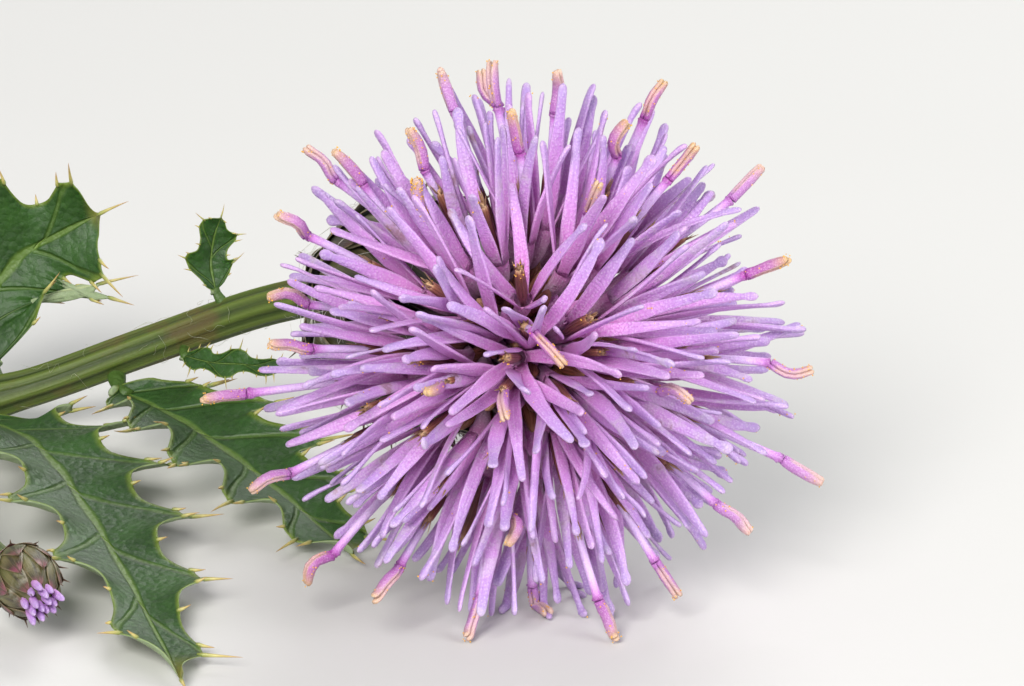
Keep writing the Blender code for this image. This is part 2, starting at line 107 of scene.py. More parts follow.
class Piece:
    def __init__(self, name):
        self.name = name
        self.count = 0                       # points so far
        self.points = []
        self.faces = {4: [], 3: []}          # by how many corners a face has
        self.maps = {4: [], 3: []}           # each corner's place on its own strip
        self.strips = {4: [], 3: []}         # and that strip's number
        self.finish = {4: [], 3: []}
        self.sizes = []                      # each strip's girth and length
        self.marks = {}

    def addGrids(self, grids, finish=0, **marks):
        # grids has the axes shape, row, place round the row and coordinate; each row closes on
        # itself, and the first and last rows close at a pole in their middle
        shapes, rows, sides, _ = grids.shape
        poles = grids[:, [0, -1]].mean(axis=2)
        self.points.append(np.concatenate([grids.reshape(shapes, -1, 3), poles], axis=1).reshape(-1, 3))
        each = rows * sides + 2
        start = self.count + each * np.arange(shapes)[:, None, None]
        row, side = np.meshgrid(np.arange(rows - 1), np.arange(sides), indexing="ij")
        after = (side + 1) % sides
        quads = np.stack([row * sides + side, row * sides + after, (row + 1) * sides + after,
                          (row + 1) * sides + side], axis=-1).reshape(-1, 4)
        ring = np.arange(sides)
        turned = (ring + 1) % sides
        first = np.stack([np.full(sides, each - 2), turned, ring], axis=-1)
        last = np.stack([np.full(sides, each - 1), ring, turned], axis=-1)
        last[:, 1:] += (rows - 1) * sides
        for name, values in marks.items():
            full = np.broadcast_to(values, (shapes, rows, sides))
            ends = full[:, [0, -1]].mean(axis=2)
            whole = np.concatenate([full.reshape(shapes, -1), ends], axis=1)
            self.marks.setdefault(name, []).append((self.count, whole.ravel()))
        self.count += shapes * each
        # the unwrapped strip: across is the share of the way round, up the share of the way along
        runs = np.linalg.norm(np.diff(grids, axis=1), axis=-1).mean(axis=2)
        caps = np.linalg.norm(grids[:, [0, -1]] - poles[:, :, None], axis=-1).mean(axis=2)
        up = np.cumsum(np.concatenate([0 * caps[:, :1], caps[:, :1], runs, caps[:, 1:]], axis=1), axis=1)
        length = np.maximum(up[:, -1:], 1e-6)
        up = up / length
        girth = np.linalg.norm(grids - np.roll(grids, 1, axis=2), axis=-1).sum(axis=2).mean(axis=1)
        quadAcross = np.stack([side, side + 1, side + 1, side], axis=-1).reshape(-1, 4) / sides
        quadRows = np.stack([row, row, row + 1, row + 1], axis=-1).reshape(-1, 4) + 1
        endAcross = np.stack([ring + 0.5, ring + 1, ring], axis=-1) / sides
        endAcross = np.concatenate([endAcross, endAcross[:, [0, 2, 1]]])
        endRows = np.repeat([[0, 1, 1], [rows + 1, rows, rows]], sides, axis=0)
        strip = len(self.sizes) + np.arange(shapes)
        for faces, across, level in ((quads, quadAcross, quadRows),
                                     (np.concatenate([first, last]), endAcross, endRows)):
            corners = faces.shape[1]
            places = np.stack([np.broadcast_to(across, (shapes, *across.shape)), up[:, level]], axis=-1)
            self.faces[corners].append((start + faces).reshape(-1, corners))
            self.maps[corners].append(places.reshape(-1, 2))
            self.strips[corners].append(np.repeat(strip, faces.size))
            self.finish[corners].append(np.full(shapes * len(faces), finish))
        self.sizes += zip(girth.tolist(), length[:, 0].tolist())

    def packStrips(self):
        # the strips stand side by side on shelves, at the largest scale at which all fit one map
        order = sorted(range(len(self.sizes)), key=lambda k: -self.sizes[k][1])
        gap, narrowest = 0.004, 0.003
        low, high = 1e-4, 10.0
        places = {}
        for _ in range(26):
            scale = (low + high) / 2
            x, y, shelf, trial = gap, gap, 0.0, {}
            for k in order:
                wide, tall = (max(size * scale, narrowest) for size in self.sizes[k])
                if x + wide + gap > 1:
                    x = gap
                    y += shelf + gap
                    shelf = 0.0
                shelf = max(shelf, tall)
                trial[k] = (x, y, wide, tall)
                x += wide + gap
            if y + shelf + gap <= 1 and all(t[0] + t[2] <= 1 for t in trial.values()):
                low, places = scale, trial
            else:
                high = scale
        return np.array([places[k] for k in range(len(self.sizes))])

    def build(self, finishes, slot, *nodes):
        points = np.concatenate(self.points)
        points[:, 2] = np.maximum(points[:, 2], lowest)
        quads, triangles = (np.concatenate(self.faces[corners]).tolist() for corners in (4, 3))
        maps, strips, finish = (np.concatenate(each[4] + each[3])
                                for each in (self.maps, self.strips, self.finish))
        mesh = bpy.data.meshes.new(self.name)
        mesh.from_pydata((points * mm).tolist(), [], quads + triangles)
        mesh.polygons.foreach_set("material_index", finish.astype(np.int32))
        places = self.packStrips()[strips]
        for name, spots in (("surfaceMap", maps), ("OFBake", places[:, :2] + maps * places[:, 2:])):
            mesh.uv_layers.new(name=name).data.foreach_set("uv", spots.astype(np.float32).ravel())
        for name, parts in self.marks.items():
            whole = np.zeros(len(points), np.float32)
            for begin, values in parts:
                whole[begin:begin + len(values)] = values
            mesh.attributes.new(name, "FLOAT", "POINT").data.foreach_set("value", whole)
        for made in finishes:
            mesh.materials.append(made)
        mesh.shade_smooth()
        mesh.update()
        obj = bpy.data.objects.new(self.name, mesh)
        bpy.context.scene.collection.objects.link(obj)
        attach(obj, "root")
        if nodes:
            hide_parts(*nodes)


def roundAngles(sides):
    # the angle of each place round a row, where 90 is the normal's side
    return 2 * np.pi * (np.arange(sides) + 0.5) / sides - np.pi / 2


def wrapped(lines, normals, wide, high, sides, tangents=None):
    # at angle a round a line's point the surface is point + across wide cos a + normal high sin a,
    # where across is square to both the normal and the line; wide and high may change with a
    if tangents is None:
        tangents = tangentsOf(lines)
    normals = squareTo(np.broadcast_to(normals, lines.shape), tangents)
    across = np.cross(normals, tangents)
    angle = roundAngles(sides)[:, None]
    wide, high = (np.broadcast_to(v, (*lines.shape[:2], sides))[..., None] for v in (wide, high))
    return (lines[:, :, None] + across[:, :, None] * wide * np.cos(angle)
            + normals[:, :, None] * high * np.sin(angle))


def closedSheets(faces, thickness):
    # a face's grid goes on round its margin to a back, which is the face less its normal times
    # the thickness; the normal is the slope across the face crossed with the slope along it
    normals = unit(np.cross(np.gradient(faces, axis=2), np.gradient(faces, axis=1)))
    backs = faces - normals * np.broadcast_to(thickness, faces.shape[:3])[..., None]
    return np.concatenate([faces, backs[:, :, ::-1]], axis=2)


# The head's own frame: its focus is the point that the florets fan out from.

head = {
    "faceTurn": 28,        # the face looks this far to the right of -Y
    "faceRise": 5,         # and this far above the level
    "focusHeight": 10.6,   # of the focus in the modelled layout
    "discDepth": 11.25,    # from the focus back to the receptacle's top
    "viewRise": 18,        # clock angles are read facing the flower from this high
    "skin": 0.04,          # what bends along the surface stays this far above it
    "slide": 0.3,          # and runs this much forward, as a share of its length
}


def headAxes():
    # the head's right, up and forward directions, as the columns of a rotation
    turn, rise = (math.radians(head[name]) for name in ("faceTurn", "faceRise"))
    axis = np.array([math.sin(turn) * math.cos(rise), -math.cos(turn) * math.cos(rise), math.sin(rise)])
    right = unit(np.cross([0.0, 0.0, 1.0], axis))
    return np.column_stack([right, np.cross(axis, right), axis])


def nodePoints(name):
    # the points of a solid's mesh, each once
    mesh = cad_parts[name].data
    points = np.empty(len(mesh.vertices) * 3, np.float32)
    mesh.vertices.foreach_get("co", points)
    return np.unique(np.round(points.reshape(-1, 3) / mm, 4), axis=0)


headTurn = headAxes()
headAxis = headTurn[:, 2]
stemPoints = nodePoints("stem")
stemReach = stemPoints @ headAxis
discPoints = stemPoints[stemReach > stemReach.max() - 0.02]      # the receptacle's flat top
focus = discPoints.mean(axis=0) + headAxis * head["discDepth"]
layout = focus - [0, 0, head["focusHeight"]]     # what a point of the modelled layout moves by


def fromHead(points):
    # a point in the head's frame, turned and moved to its place
    return points @ headTurn.T + focus


def clockDirection(clock, lean):
    # the direction that shows at this clock angle and leans this far away from the eye
    rise, clock, lean = (math.radians(v) for v in (head["viewRise"], clock, lean))
    eye = np.array([0, -math.cos(rise), math.sin(rise)])
    right = np.array([1.0, 0, 0])
    across = right * math.cos(clock) + np.cross(eye, right) * math.sin(clock)
    return unit(eye * math.cos(lean) + across * math.sin(lean)) @ headTurn


def laidOnSurface(lines, room):
    # each step keeps its length, and runs level, a little forward, where it would pass the surface
    laid = lines.copy()
    room = np.broadcast_to(room, lines.shape[:1])
    for k in range(1, lines.shape[1]):
        step = lines[:, k] - lines[:, k - 1]
        length = np.linalg.norm(step, axis=1)
        place = laid[:, k - 1] + step
        down = np.clip(room - laid[:, k - 1, 2], -length, length)
        level = step + head["slide"] * headAxis * length[:, None]
        level[:, 2] = 0
        run = np.sqrt(np.maximum(length**2 - down**2, 0))
        bent = laid[:, k - 1] + unit(level) * run[:, None]
        bent[:, 2] += down
        laid[:, k] = np.where(place[:, 2:] < room[:, None], bent, place)
    return laid


print("head focus at", np.round(focus, 2), "mm")


# Shader sums: a Wire holds a socket, and sums written on it add their nodes.

class Wire:
    def __init__(self, finish, socket):
        self.finish = finish
        self.socket = socket

    def maths(self, operation, *values, clamp=False):
        inputs = dict(enumerate(values))
        return self.finish.add("ShaderNodeMath", {"operation": operation, "use_clamp": clamp}, inputs)

    def __add__(self, other):
        return self.maths("ADD", self, other)

    def __sub__(self, other):
        return self.maths("SUBTRACT", self, other)

    def __rsub__(self, other):
        return self.maths("SUBTRACT", other, self)

    def __mul__(self, other):
        return self.maths("MULTIPLY", self, other)

    __radd__ = __add__
    __rmul__ = __mul__

    def kept(self):
        # the value kept between 0 and 1
        return self.maths("ADD", self, 0.0, clamp=True)

    def wave(self):
        return self.maths("SINE", self)

    def size(self):
        return self.maths("ABSOLUTE", self)

    def fraction(self):
        return self.maths("FRACT", self)

    def rise(self, start, end):
        # 0 before start and 1 past end, with a smooth run between
        return self.finish.add("ShaderNodeMapRange", {"interpolation_type": "SMOOTHSTEP"},
                               {"Value": self, "From Min": start, "From Max": end})


def paint(red, green, blue):
    # a colour as it shows on a screen, 0 to 255, turned into the light it stands for
    shares = np.array([red, green, blue]) / 255
    light = np.where(shares <= 0.04045, shares / 12.92, ((shares + 0.055) / 1.055) ** 2.4)
    return (*light.tolist(), 1.0)


class Finish:
    def __init__(self, name):
        self.material = bpy.data.materials.new(name)
        self.material.use_nodes = True
        self.tree = self.material.node_tree
        self.tree.nodes.clear()
        self.place = self.add("ShaderNodeTexCoord", output="Object")

    def add(self, kind, settings=None, inputs=None, output=0):
        # one node: its settings first, then a value or a link for each socket that is named
        node = self.tree.nodes.new(kind)
        for key, value in (settings or {}).items():
            if key == "stops":
                stops = node.color_ramp.elements
                while len(stops) < len(value):
                    stops.new(1.0)
                for stop, (position, colour) in zip(stops, value):
                    stop.position = position
                    stop.color = colour
            else:
                setattr(node, key, value)
        for key, value in (inputs or {}).items():
            if isinstance(value, Wire):
                self.tree.links.new(value.socket, node.inputs[key])
            else:
                node.inputs[key].default_value = value
        return Wire(self, node.outputs[output])

    def mark(self, name):
        return self.add("ShaderNodeAttribute", {"attribute_name": name}, output="Fac")

    def marks(self, *names):
        return [self.mark(name) for name in names]

    def mix(self, share, first, second, blend="MIX"):
        return self.add("ShaderNodeMix", {"data_type": "RGBA", "blend_type": blend},
                        {0: share, 6: first, 7: second}, output=2)

    def ramp(self, value, stops):
        return self.add("ShaderNodeValToRGB", {"stops": stops}, {"Fac": value})

    def noise(self, scale, detail=3.0, vector=None, rough=0.55):
        return self.add("ShaderNodeTexNoise", {"noise_dimensions": "3D"},
                        {"Vector": vector or self.place, "Scale": scale, "Detail": detail,
                         "Roughness": rough})

    def cells(self, scale):
        # the distance to the nearest of many scattered points
        return self.add("ShaderNodeTexVoronoi", {"feature": "F1"},
                        {"Vector": self.place, "Scale": scale}, output="Distance")

    def surface(self, x, y):
        # a vector from the share of the way round and the way along the piece's own map
        mapped = self.add("ShaderNodeUVMap", {"uv_map": "surfaceMap"})
        return self.add("ShaderNodeVectorMath", {"operation": "MULTIPLY"}, {0: mapped, 1: (x, y, 1.0)})

    def bump(self, height, distance, strength=1.0):
        return self.add("ShaderNodeBump", None,
                        {"Height": height, "Distance": distance, "Strength": strength})

    def finished(self, **sockets):
        # the shader; Base_Color stands for the socket Base Color, and so on
        inputs = {name.replace("_", " "): value for name, value in sockets.items()}
        shader = self.add("ShaderNodeBsdfPrincipled", {"subsurface_method": "RANDOM_WALK"}, inputs)
        out = self.tree.nodes.new("ShaderNodeOutputMaterial")
        self.tree.links.new(shader.socket, out.inputs["Surface"])
        return self.material


# The corolla's finish. along runs from -1 at the ovary to 0 at the throat and 1 at a lobe's tip.

def corollaFinish():
    f = Finish("corollaFinish")
    along, rim, tint, inner = f.marks("along", "rim", "tint", "inner")
    # from 0 to 0.5, along the tube below the throat, the stops are grey-brown and dull purple: painted shade
    # deep in the head, where the tubes themselves are paler
    body = f.ramp(along * 0.5 + 0.5, [
        (0.0, paint(150, 138, 118)), (0.18, paint(140, 122, 122)), (0.38, paint(150, 116, 136)),
        (0.46, paint(176, 130, 162)), (0.505, paint(178, 98, 158)), (0.6, paint(208, 130, 204)),
        (0.76, paint(196, 135, 208)), (0.88, paint(177, 134, 201)), (0.97, paint(166, 136, 195)),
        (1.0, paint(170, 144, 190))])
    cool = f.mix((tint - 0.6).kept(), body, paint(164, 140, 196))
    warm = f.mix((0.4 - tint).kept(), cool, paint(208, 127, 194))
    streaks = f.noise(1.0, 3.0, f.surface(26.0, 2.2))
    clouds = f.noise(900.0, 2.0)
    lit = f.mix((streaks - 0.42) * 1.2, warm, f.mix(0.55, warm, paint(240, 222, 246)))
    deep = f.mix(((0.55 - clouds) * 1.5).kept(), lit, f.mix(0.5, lit, paint(160, 96, 180)))
    edge = f.mix((rim.rise(0.55, 1.0) * 0.2).kept(), deep, paint(232, 204, 240))
    # the colour pales towards white near each small cell's middle: painted glints of the lobes' sparkling
    # cells; the same cells also smooth and bump the surface
    grain = f.cells(9000.0)
    cellGlinted = f.mix((0.5 - grain).kept() * 0.6, edge, paint(250, 238, 252))
    spots = f.noise(700.0, 4.0, rough=0.65)      # some lobes have greyed and browned in patches
    greyed = spots.rise(0.5, 0.62) * tint.rise(0.5, 0.62) * 0.45
    browned = spots.rise(0.6, 0.7) * tint.rise(0.6, 0.72) * 0.6
    aged = f.mix(browned, f.mix(greyed, cellGlinted, paint(196, 184, 198)), paint(136, 92, 88))
    dust = (1 - f.cells(1300.0).rise(0.025, 0.045)) * inner
    colour = f.mix(dust * 0.9, aged, paint(232, 172, 70))
    return f.finished(Base_Color=colour, Roughness=0.52 - grain * 0.22, Subsurface_Weight=0.22,
                      Subsurface_Radius=(1.0, 0.6, 0.9), Subsurface_Scale=0.00035,
                      Specular_IOR_Level=0.45, Normal=f.bump(streaks * 1.1 - grain, 0.00003, 0.9))


def antherFinish():
    f = Finish("antherFinish")
    around = f.add("ShaderNodeSeparateXYZ", None, {0: f.surface(1.0, 1.0)})
    seams = (around * (10 * math.pi)).wave().size()      # ten a turn: two to each anther
    body = f.ramp(f.mark("along"), [
        (0.0, paint(146, 88, 108)), (0.25, paint(108, 56, 62)), (0.7, paint(96, 48, 42)),
        (0.9, paint(140, 86, 62)), (1.0, paint(222, 180, 138))])
    streaks = f.noise(1.0, 3.0, f.surface(30.0, 5.0))
    shaded = f.mix((1 - seams.rise(0.0, 0.35)) * 0.55, body, paint(48, 24, 26))
    colour = f.mix((streaks - 0.35) * 0.7, shaded, paint(190, 140, 110))
    return f.finished(Base_Color=colour, Roughness=0.42, Subsurface_Weight=0.05,
                      Subsurface_Scale=0.0002, Normal=f.bump(seams + streaks, 0.00003, 0.9))


# The style's finish. along runs 0 to 1 up the shaft and 1 to 2 up the arms.

def styleFinish():
    f = Finish("styleFinish")
    along, seam, tint = f.marks("along", "rim", "tint")
    body = f.ramp(along * 0.5, [
        (0.0, paint(206, 176, 220)), (0.36, paint(214, 180, 230)), (0.455, paint(202, 128, 208)),
        (0.49, paint(156, 60, 152)), (0.56, paint(164, 84, 162)), (0.8, paint(172, 106, 162)),
        (0.95, paint(186, 142, 124)), (1.0, paint(196, 158, 104))])
    patches = f.noise(2600.0, 4.0, rough=0.6)
    cream = (seam.rise(0.35, 0.8) * along.rise(1.05, 1.25) * (patches + 0.45).kept()).kept()
    creamy = f.mix(cream * 0.6, body, paint(206, 174, 130))
    cool = f.mix(tint * 0.25, creamy, paint(196, 176, 226))
    # the colour pales towards white near each small cell's middle: painted glints of the style's sparkling
    # cells
    grain = f.cells(13000.0)
    colour = f.mix((0.5 - grain).kept() * 0.6, cool, paint(248, 234, 246))
    return f.finished(Base_Color=colour, Roughness=0.5 - grain * 0.2, Subsurface_Weight=0.18,
                      Subsurface_Radius=(1.0, 0.6, 0.9), Subsurface_Scale=0.0003,
                      Normal=f.bump(patches * 0.8 - grain, 0.00003, 0.9))


def grainyFinish(name, scale, detail, low, high, roughness, strength):
    # a plain finish between two colours, for grains, hairs and threads
    f = Finish(name)
    grain = f.noise(scale, detail)
    return f.finished(Base_Color=f.mix(grain.kept(), paint(*low), paint(*high)), Roughness=roughness,
                      Normal=f.bump(grain, 0.00001, strength))


# The florets.

floret = {
    "count": 70,
    "domeEdge": 99,            # the outermost florets lean this far from the axis
    "throatNear": 3.7,         # focus to a throat, at the head's centre
    "throatFar": 5.5,          # and at its rim
    "leastApart": 10.5,        # between the directions of two florets
    "domePoints": 900,         # directions that the florets choose from
    "seatRadius": 3.05,
    "seatHeight": -11.0,
    "seatRoom": 0.48,          # between the middles of two ovaries
    "tubeRise": 5.0,           # how strongly a tube leaves its seat along the head's axis
    "tubeLead": 3.4,           # and comes to its throat along its own
    "tubeSides": 10,
    "lobes": 5,
    "lobeSides": 12,
    "lobeFoot": 0.35,          # from the floret's axis to a lobe's foot
    "lobeLength": (4.4, 6.5),
    "lobeHalfWidth": (0.24, 0.4),
    "lobeThickness": 0.1,      # half of it at the middle
    "lobeThicker": (0.8, 1.25),
    "lobeWaves": (0.8, 2.6),   # of its margins, along its length
    "lobeGrooves": (0.0, 0.4, 0.9, 1.3),     # how deep the channel is, against the thickness
    "lobeKnobs": (0.0, 0.0, 0.15, 0.32),     # how far the tip widens past its neck
    "lobeTwist": 16,
    "lobeSpread": (20, 48),
    "lobeStart": (0.3, 0.85),  # the share of the spread that a lobe starts with
    "lobeBow": (0.6, 1.5),     # the power by which it takes on the rest
    "lobeSway": 9,
    "lobeHood": (-14, 22),     # how far its tip turns in
    "lobeOpening": 40,         # added to the spread at the middle of the face
    "lobeInward": 0.4,         # the share of its spread that a lobe on the middle's side takes
    "comb": 0.36,              # how strongly the lobes bend away from the face's middle
    "middle": (90, 9),         # the clock angle and lean at which the face's middle shows
    "lobeClearance": 0.68,
    "antherRadius": 0.22,
    "antherLength": (2.3, 3.2),
    "tuft": 9,                 # slivers on an anther tube's rim
    "sliverTurn": 24,          # how far one may stand from its even place round the rim
    "sliverLean": (-6, 17),
    "sliverFoot": (0.4, 0.8),  # as a share of the anther tube's radius
    "sliverLength": (0.35, 0.9),
    "styleRadius": 0.17,
    "styleExtra": 0.7,         # the throats here lie this much deeper than the solids' do
    "armLength": 1.95,
    "armRoom": 0.26,           # from the surface to the line between two arms
    "seed": 11,
}
closedFloret = {               # the florets that have not opened, deep between the others
    "count": 120,
    "reach": (2.7, 4.6),       # focus to a tip
    "radius": (0.24, 0.36),
    "brown": 0.6,              # the share that show their brown anthers
    "seed": 19,
}

# Florets whose style has grown out: degrees round the face, anticlockwise from three o'clock,
# lean away from the eye, and the style's length past the throat. These are the first solids.
grownStyles = (
    (359, 80, 6.6), (20, 74, 6.4), (38, 86, 6.6), (52, 66, 6.2), (64, 84, 6.8),
    (84, 76, 6.2), (96, 94, 6.4), (107, 78, 6.6), (120, 66, 5.4), (137, 80, 7.0),
    (151, 72, 6.8), (166, 78, 5.6), (178, 62, 6.0), (188, 82, 8.0), (206, 78, 7.2),
    (224, 84, 7.6), (238, 72, 6.6), (257, 78, 6.4), (270, 92, 5.6), (285, 74, 7.2),
    (301, 78, 6.6), (322, 80, 6.6), (338, 86, 7.8), (344, 46, 5.2), (68, 50, 4.6),
    (262, 56, 4.4),
)
solidFlorets = 41              # the later florets replace no solid
laterStyles = (                # no length stands for a floret whose style has not grown out
    (90, 9, 4.9), (127, 58, 4.4), (235, 18, 3.4), (195, 34, 4.2), (146, 88, 6.4),
    (90, 62, 5.4), (116, 86, 6.4), (60, 74, 5.4), (300, 24, 0), (20, 26, 0), (150, 24, 0),
)
styleBend = {
    "lean": (2, 12),           # of the shaft's end from its floret's axis
    "kink": 34,                # the arms turn by up to this much, mostly by less
    "step": (-20, 20),         # and by one of these besides
    "curve": (0.6, 2.6),       # then curve back by this many times the turn
    "curveSpread": 14,
    "wiggle": 22,
}
curledStyle = {                # the style at the middle of the face curls over to the lower right
    "floret": solidFlorets,
    "clock": -48,
    "lean": 46,
    "kink": 20,
    "curve": 44,
}
pollen = {
    "size": (0.026, 0.042),
    "styleAway": 0.24,         # from the middle line of the style
    "antherAway": 0.2,
    "lobeAway": 0.17,
    "grains": (8, 26),         # on a grown style
    "antherGrains": (2, 9),
    "lobeGrains": 3,           # on one lobe of each floret
    "dusted": solidFlorets + 1,     # the floret whose style is thick with it
    "dustedGrains": 150,
}


def domeDirections(count):
    # the k-th direction turns by the golden angle from the last, and its height falls evenly
    k = np.arange(count)
    height = 1 - (1 - math.cos(math.radians(floret["domeEdge"]))) * (k + 0.5) / count
    across = np.sqrt(1 - height**2)
    return np.stack([across * np.cos(k * goldenAngle), across * np.sin(k * goldenAngle), height], axis=1)


def floretDirections():
    # the grown florets, then at each step the free direction that is farthest from all chosen,
    # the closed florets last; the later styles come after the solids, each at the nearest free
    # direction with room
    chosen = [clockDirection(clock, lean) for clock, lean, _ in grownStyles]
    free = domeDirections(floret["domePoints"])
    closeness = (free @ np.array(chosen).T).max(axis=1)
    leastApart = math.cos(math.radians(floret["leastApart"]))
    styles = [length for _, _, length in grownStyles]
    while len(chosen) < floret["count"] + closedFloret["count"]:
        later = len(chosen) - solidFlorets
        if 0 <= later < len(laterStyles):
            clock, lean, length = laterStyles[later]
            wanted = free @ clockDirection(clock, lean)
            k = int(np.argmax(np.where(closeness < leastApart, wanted, -2)))
            styles.append(length)
        else:
            k = int(np.argmin(closeness))
            styles.append(0.0)
        chosen.append(free[k])
        closeness = np.maximum(closeness, free @ free[k])
    chosen = np.array(chosen)
    return chosen[:floret["count"]], np.array(styles[:floret["count"]]), chosen[floret["count"]:]


def floretSeats(directions):
    # a seat's distance from the axis goes with its floret's lean; seats too near push apart
    lean = np.degrees(np.arccos(np.clip(directions[:, 2], -1, 1))) / floret["domeEdge"]
    places = unit(directions[:, :2]) * lean[:, None] * floret["seatRadius"]
    for _ in range(80):
        gaps = places[:, None] - places[None]
        away = np.linalg.norm(gaps, axis=2) + np.eye(len(places)) * 9
        push = np.maximum(floret["seatRoom"] - away, 0) / 2
        places = places + (gaps / away[..., None] * push[..., None]).sum(axis=1)
        places *= np.minimum(1, floret["seatRadius"] / np.linalg.norm(places, axis=1))[:, None]
    return np.column_stack([places, np.full(len(places), floret["seatHeight"])])


def throatsOf(directions):
    # the reach from the focus runs from near to far with the square of the sine of the lean
    lean = np.arccos(np.clip(directions[:, 2:], -1, 1))
    reach = floret["throatNear"] + (floret["throatFar"] - floret["throatNear"]) * np.sin(lean) ** 2
    return directions * reach


faceMiddle = clockDirection(*floret["middle"]) @ headTurn.T

# Rows along a lobe, as shares of its length: close together where its tip rounds off.
lobeRows = np.array([0.0, 0.07, 0.17, 0.29, 0.42, 0.55, 0.68, 0.79, 0.88, 0.94, 0.972, 0.99, 1.0])


def lobeLines(throats, axes, sides, spread, start, bow, sway, length, hood, rows):
    # each step leans from the floret's axis by spread (start + (1 - start) share^bow), less the
    # hood near the tip, and drifts sideways; then it bends away from the middle of the face, where
    # the lobes of a floret that stands aside of it open less on the middle's side
    middle = (rows[1:] + rows[:-1]) / 2
    away = throats - focus
    away = away - faceMiddle * dots(away, faceMiddle)
    aside = softStep(np.linalg.norm(away, axis=1, keepdims=True), 0.3, 2.2)
    away = unit(away) * aside
    outer = 1 - aside * (1 - dots(sides, squareTo(away, axes))) / 2
    spread = spread * (floret["lobeInward"] + (1 - floret["lobeInward"]) * outer[:, 0])
    lean = spread[:, None] * (start[:, None] + (1 - start)[:, None] * middle ** bow[:, None])
    lean = np.radians(lean - hood[:, None] * softStep(middle, 0.84, 1.0))
    drift = np.radians(sway[:, None] * middle * 2)
    third = np.cross(axes, sides)
    outward = axes[:, None] * np.cos(lean)[..., None] + sides[:, None] * np.sin(lean)[..., None]
    way = outward * np.cos(drift)[..., None] + third[:, None] * np.sin(drift)[..., None]
    way = unit(way + away[:, None] * (floret["comb"] * middle ** 0.7)[None, :, None])
    steps = way * (length[:, None] * np.diff(rows))[..., None]
    foot = throats + sides * floret["lobeFoot"]
    lines = np.concatenate([foot[:, None], foot[:, None] + np.cumsum(steps, axis=1)], axis=1)
    leanAt = np.concatenate([lean[:, :1], (lean[:, 1:] + lean[:, :-1]) / 2, lean[:, -1:]], axis=1)
    normals = axes[:, None] * np.sin(leanAt)[..., None] - sides[:, None] * np.cos(leanAt)[..., None]
    return lines, normals


def starSides(axes, turn):
    # five directions square to the floret's axis, evenly round it from the turn
    first = anySquare(axes)
    other = np.cross(axes, first)
    angle = np.radians(turn[:, None] + 72 * np.arange(floret["lobes"]))[..., None]
    return first[:, None] * np.cos(angle) + other[:, None] * np.sin(angle)


starSearch = {
    "turns": np.arange(0, 72, 9.0),
    "shares": np.array([1.0, 0.8, 1.2, 0.6, 0.4, 1.4, 0.2, 0.0]),    # of the spread it would like
    "rows": 8,                 # along a lobe, to measure by
    "near": 7.5,               # what lies farther from a throat is left out
    "floorRoom": 0.2,
    "changeCost": 0.5,         # for a spread that differs by its whole size
    "lossCost": 4,             # for a clearance that is lost altogether
}


def openStars(throats, axes, rods, traits):
    # each floret in turn takes the turn and spreads that cost least: a lobe costs its distance
    # from the spread it would like, and much more for any part of its clearance that is lost
    turns, shares = starSearch["turns"], starSearch["shares"]
    rows = np.linspace(0, 1, starSearch["rows"])
    full = (len(turns), floret["lobes"], len(shares))
    placed = np.concatenate([throats, rods.reshape(-1, 3)])
    owner = np.concatenate([np.arange(len(throats)), np.repeat(np.arange(len(throats)), rods.shape[1])])
    chosenTurn = np.zeros(len(throats))
    chosenSpread = np.zeros((len(throats), floret["lobes"]))
    for k, (throat, axis) in enumerate(zip(throats, axes)):
        near = placed[(owner != k) & (np.linalg.norm(placed - throat, axis=1) < starSearch["near"])]
        sides = starSides(np.repeat(axis[None], len(turns), axis=0), turns)
        wanted = traits["spread"][k]
        spread = wanted[None, :, None] * shares
        own = [np.broadcast_to(traits[name][k][None, :, None], full).ravel() for name in bendTraits]
        many = np.broadcast_to(sides[:, :, None], (*full, 3)).reshape(-1, 3)
        lines, _ = lobeLines(np.broadcast_to(throat, many.shape), np.broadcast_to(axis, many.shape),
                             many, np.broadcast_to(spread, full).ravel(), *own, rows)
        lines = laidOnSurface(lines, starSearch["floorRoom"])[:, 1:].astype(np.float32)
        square = ((lines[:, :, None] - near[None, None].astype(np.float32)) ** 2).sum(axis=-1)
        clear = np.sqrt(square.min(axis=(1, 2))).reshape(full)
        lost = np.maximum(floret["lobeClearance"] - clear, 0) / floret["lobeClearance"]
        cost = np.abs(shares - 1) * starSearch["changeCost"] + lost * starSearch["lossCost"]
        best = cost.argmin(axis=2)
        turn = int(cost.min(axis=2).sum(axis=1).argmin())
        chosenTurn[k] = turns[turn]
        chosenSpread[k] = wanted * shares[best[turn]]
        lines = lines.reshape(*full, -1, 3)[turn, np.arange(floret["lobes"]), best[turn]]
        placed = np.concatenate([placed, lines.reshape(-1, 3)])
        owner = np.concatenate([owner, np.full(lines.shape[0] * lines.shape[1], k)])
    return chosenTurn, chosenSpread


def corollaTubes(seats, throats, axes):
    # the line is a Bezier curve from the seat to the throat, then the throat's rim, and back
    # down inside it; the last rows keep the floret's own direction
    shares = np.array([0, 0.03, 0.08, 0.14, 0.2, 0.24, 0.34, 0.46, 0.58, 0.7, 0.8, 0.88, 0.95, 1.0])
    radii = profile(0.1, 0.19, 0.21, 0.21, 0.17, 0.14, 0.15, 0.155, 0.17, 0.2, 0.25, 0.32, 0.38, 0.42,
                    0.4, 0.35, 0.27, 0.06)
    up = seats + headAxis * floret["tubeRise"]
    lead = throats - axes * floret["tubeLead"]
    lines = bezier(seats[:, None], up[:, None], lead[:, None], throats[:, None], shares[None, :, None])
    tangents = tangentsOf(lines)
    inside = np.array([0.12, 0.0, -0.5, -1.1])
    lines = np.concatenate([lines, throats[:, None] + axes[:, None] * inside[:, None]], axis=1)
    tangents = np.concatenate([tangents, np.repeat(axes[:, None], len(inside), axis=1)], axis=1)
    along = np.concatenate([shares - 1, [0.02, 0.0, -0.06, -0.12]])
    grids = wrapped(lines, anySquare(headAxis[None])[0], radii, radii, floret["tubeSides"], tangents)
    return grids, along[None, :, None]


lobeAngle = roundAngles(floret["lobeSides"])


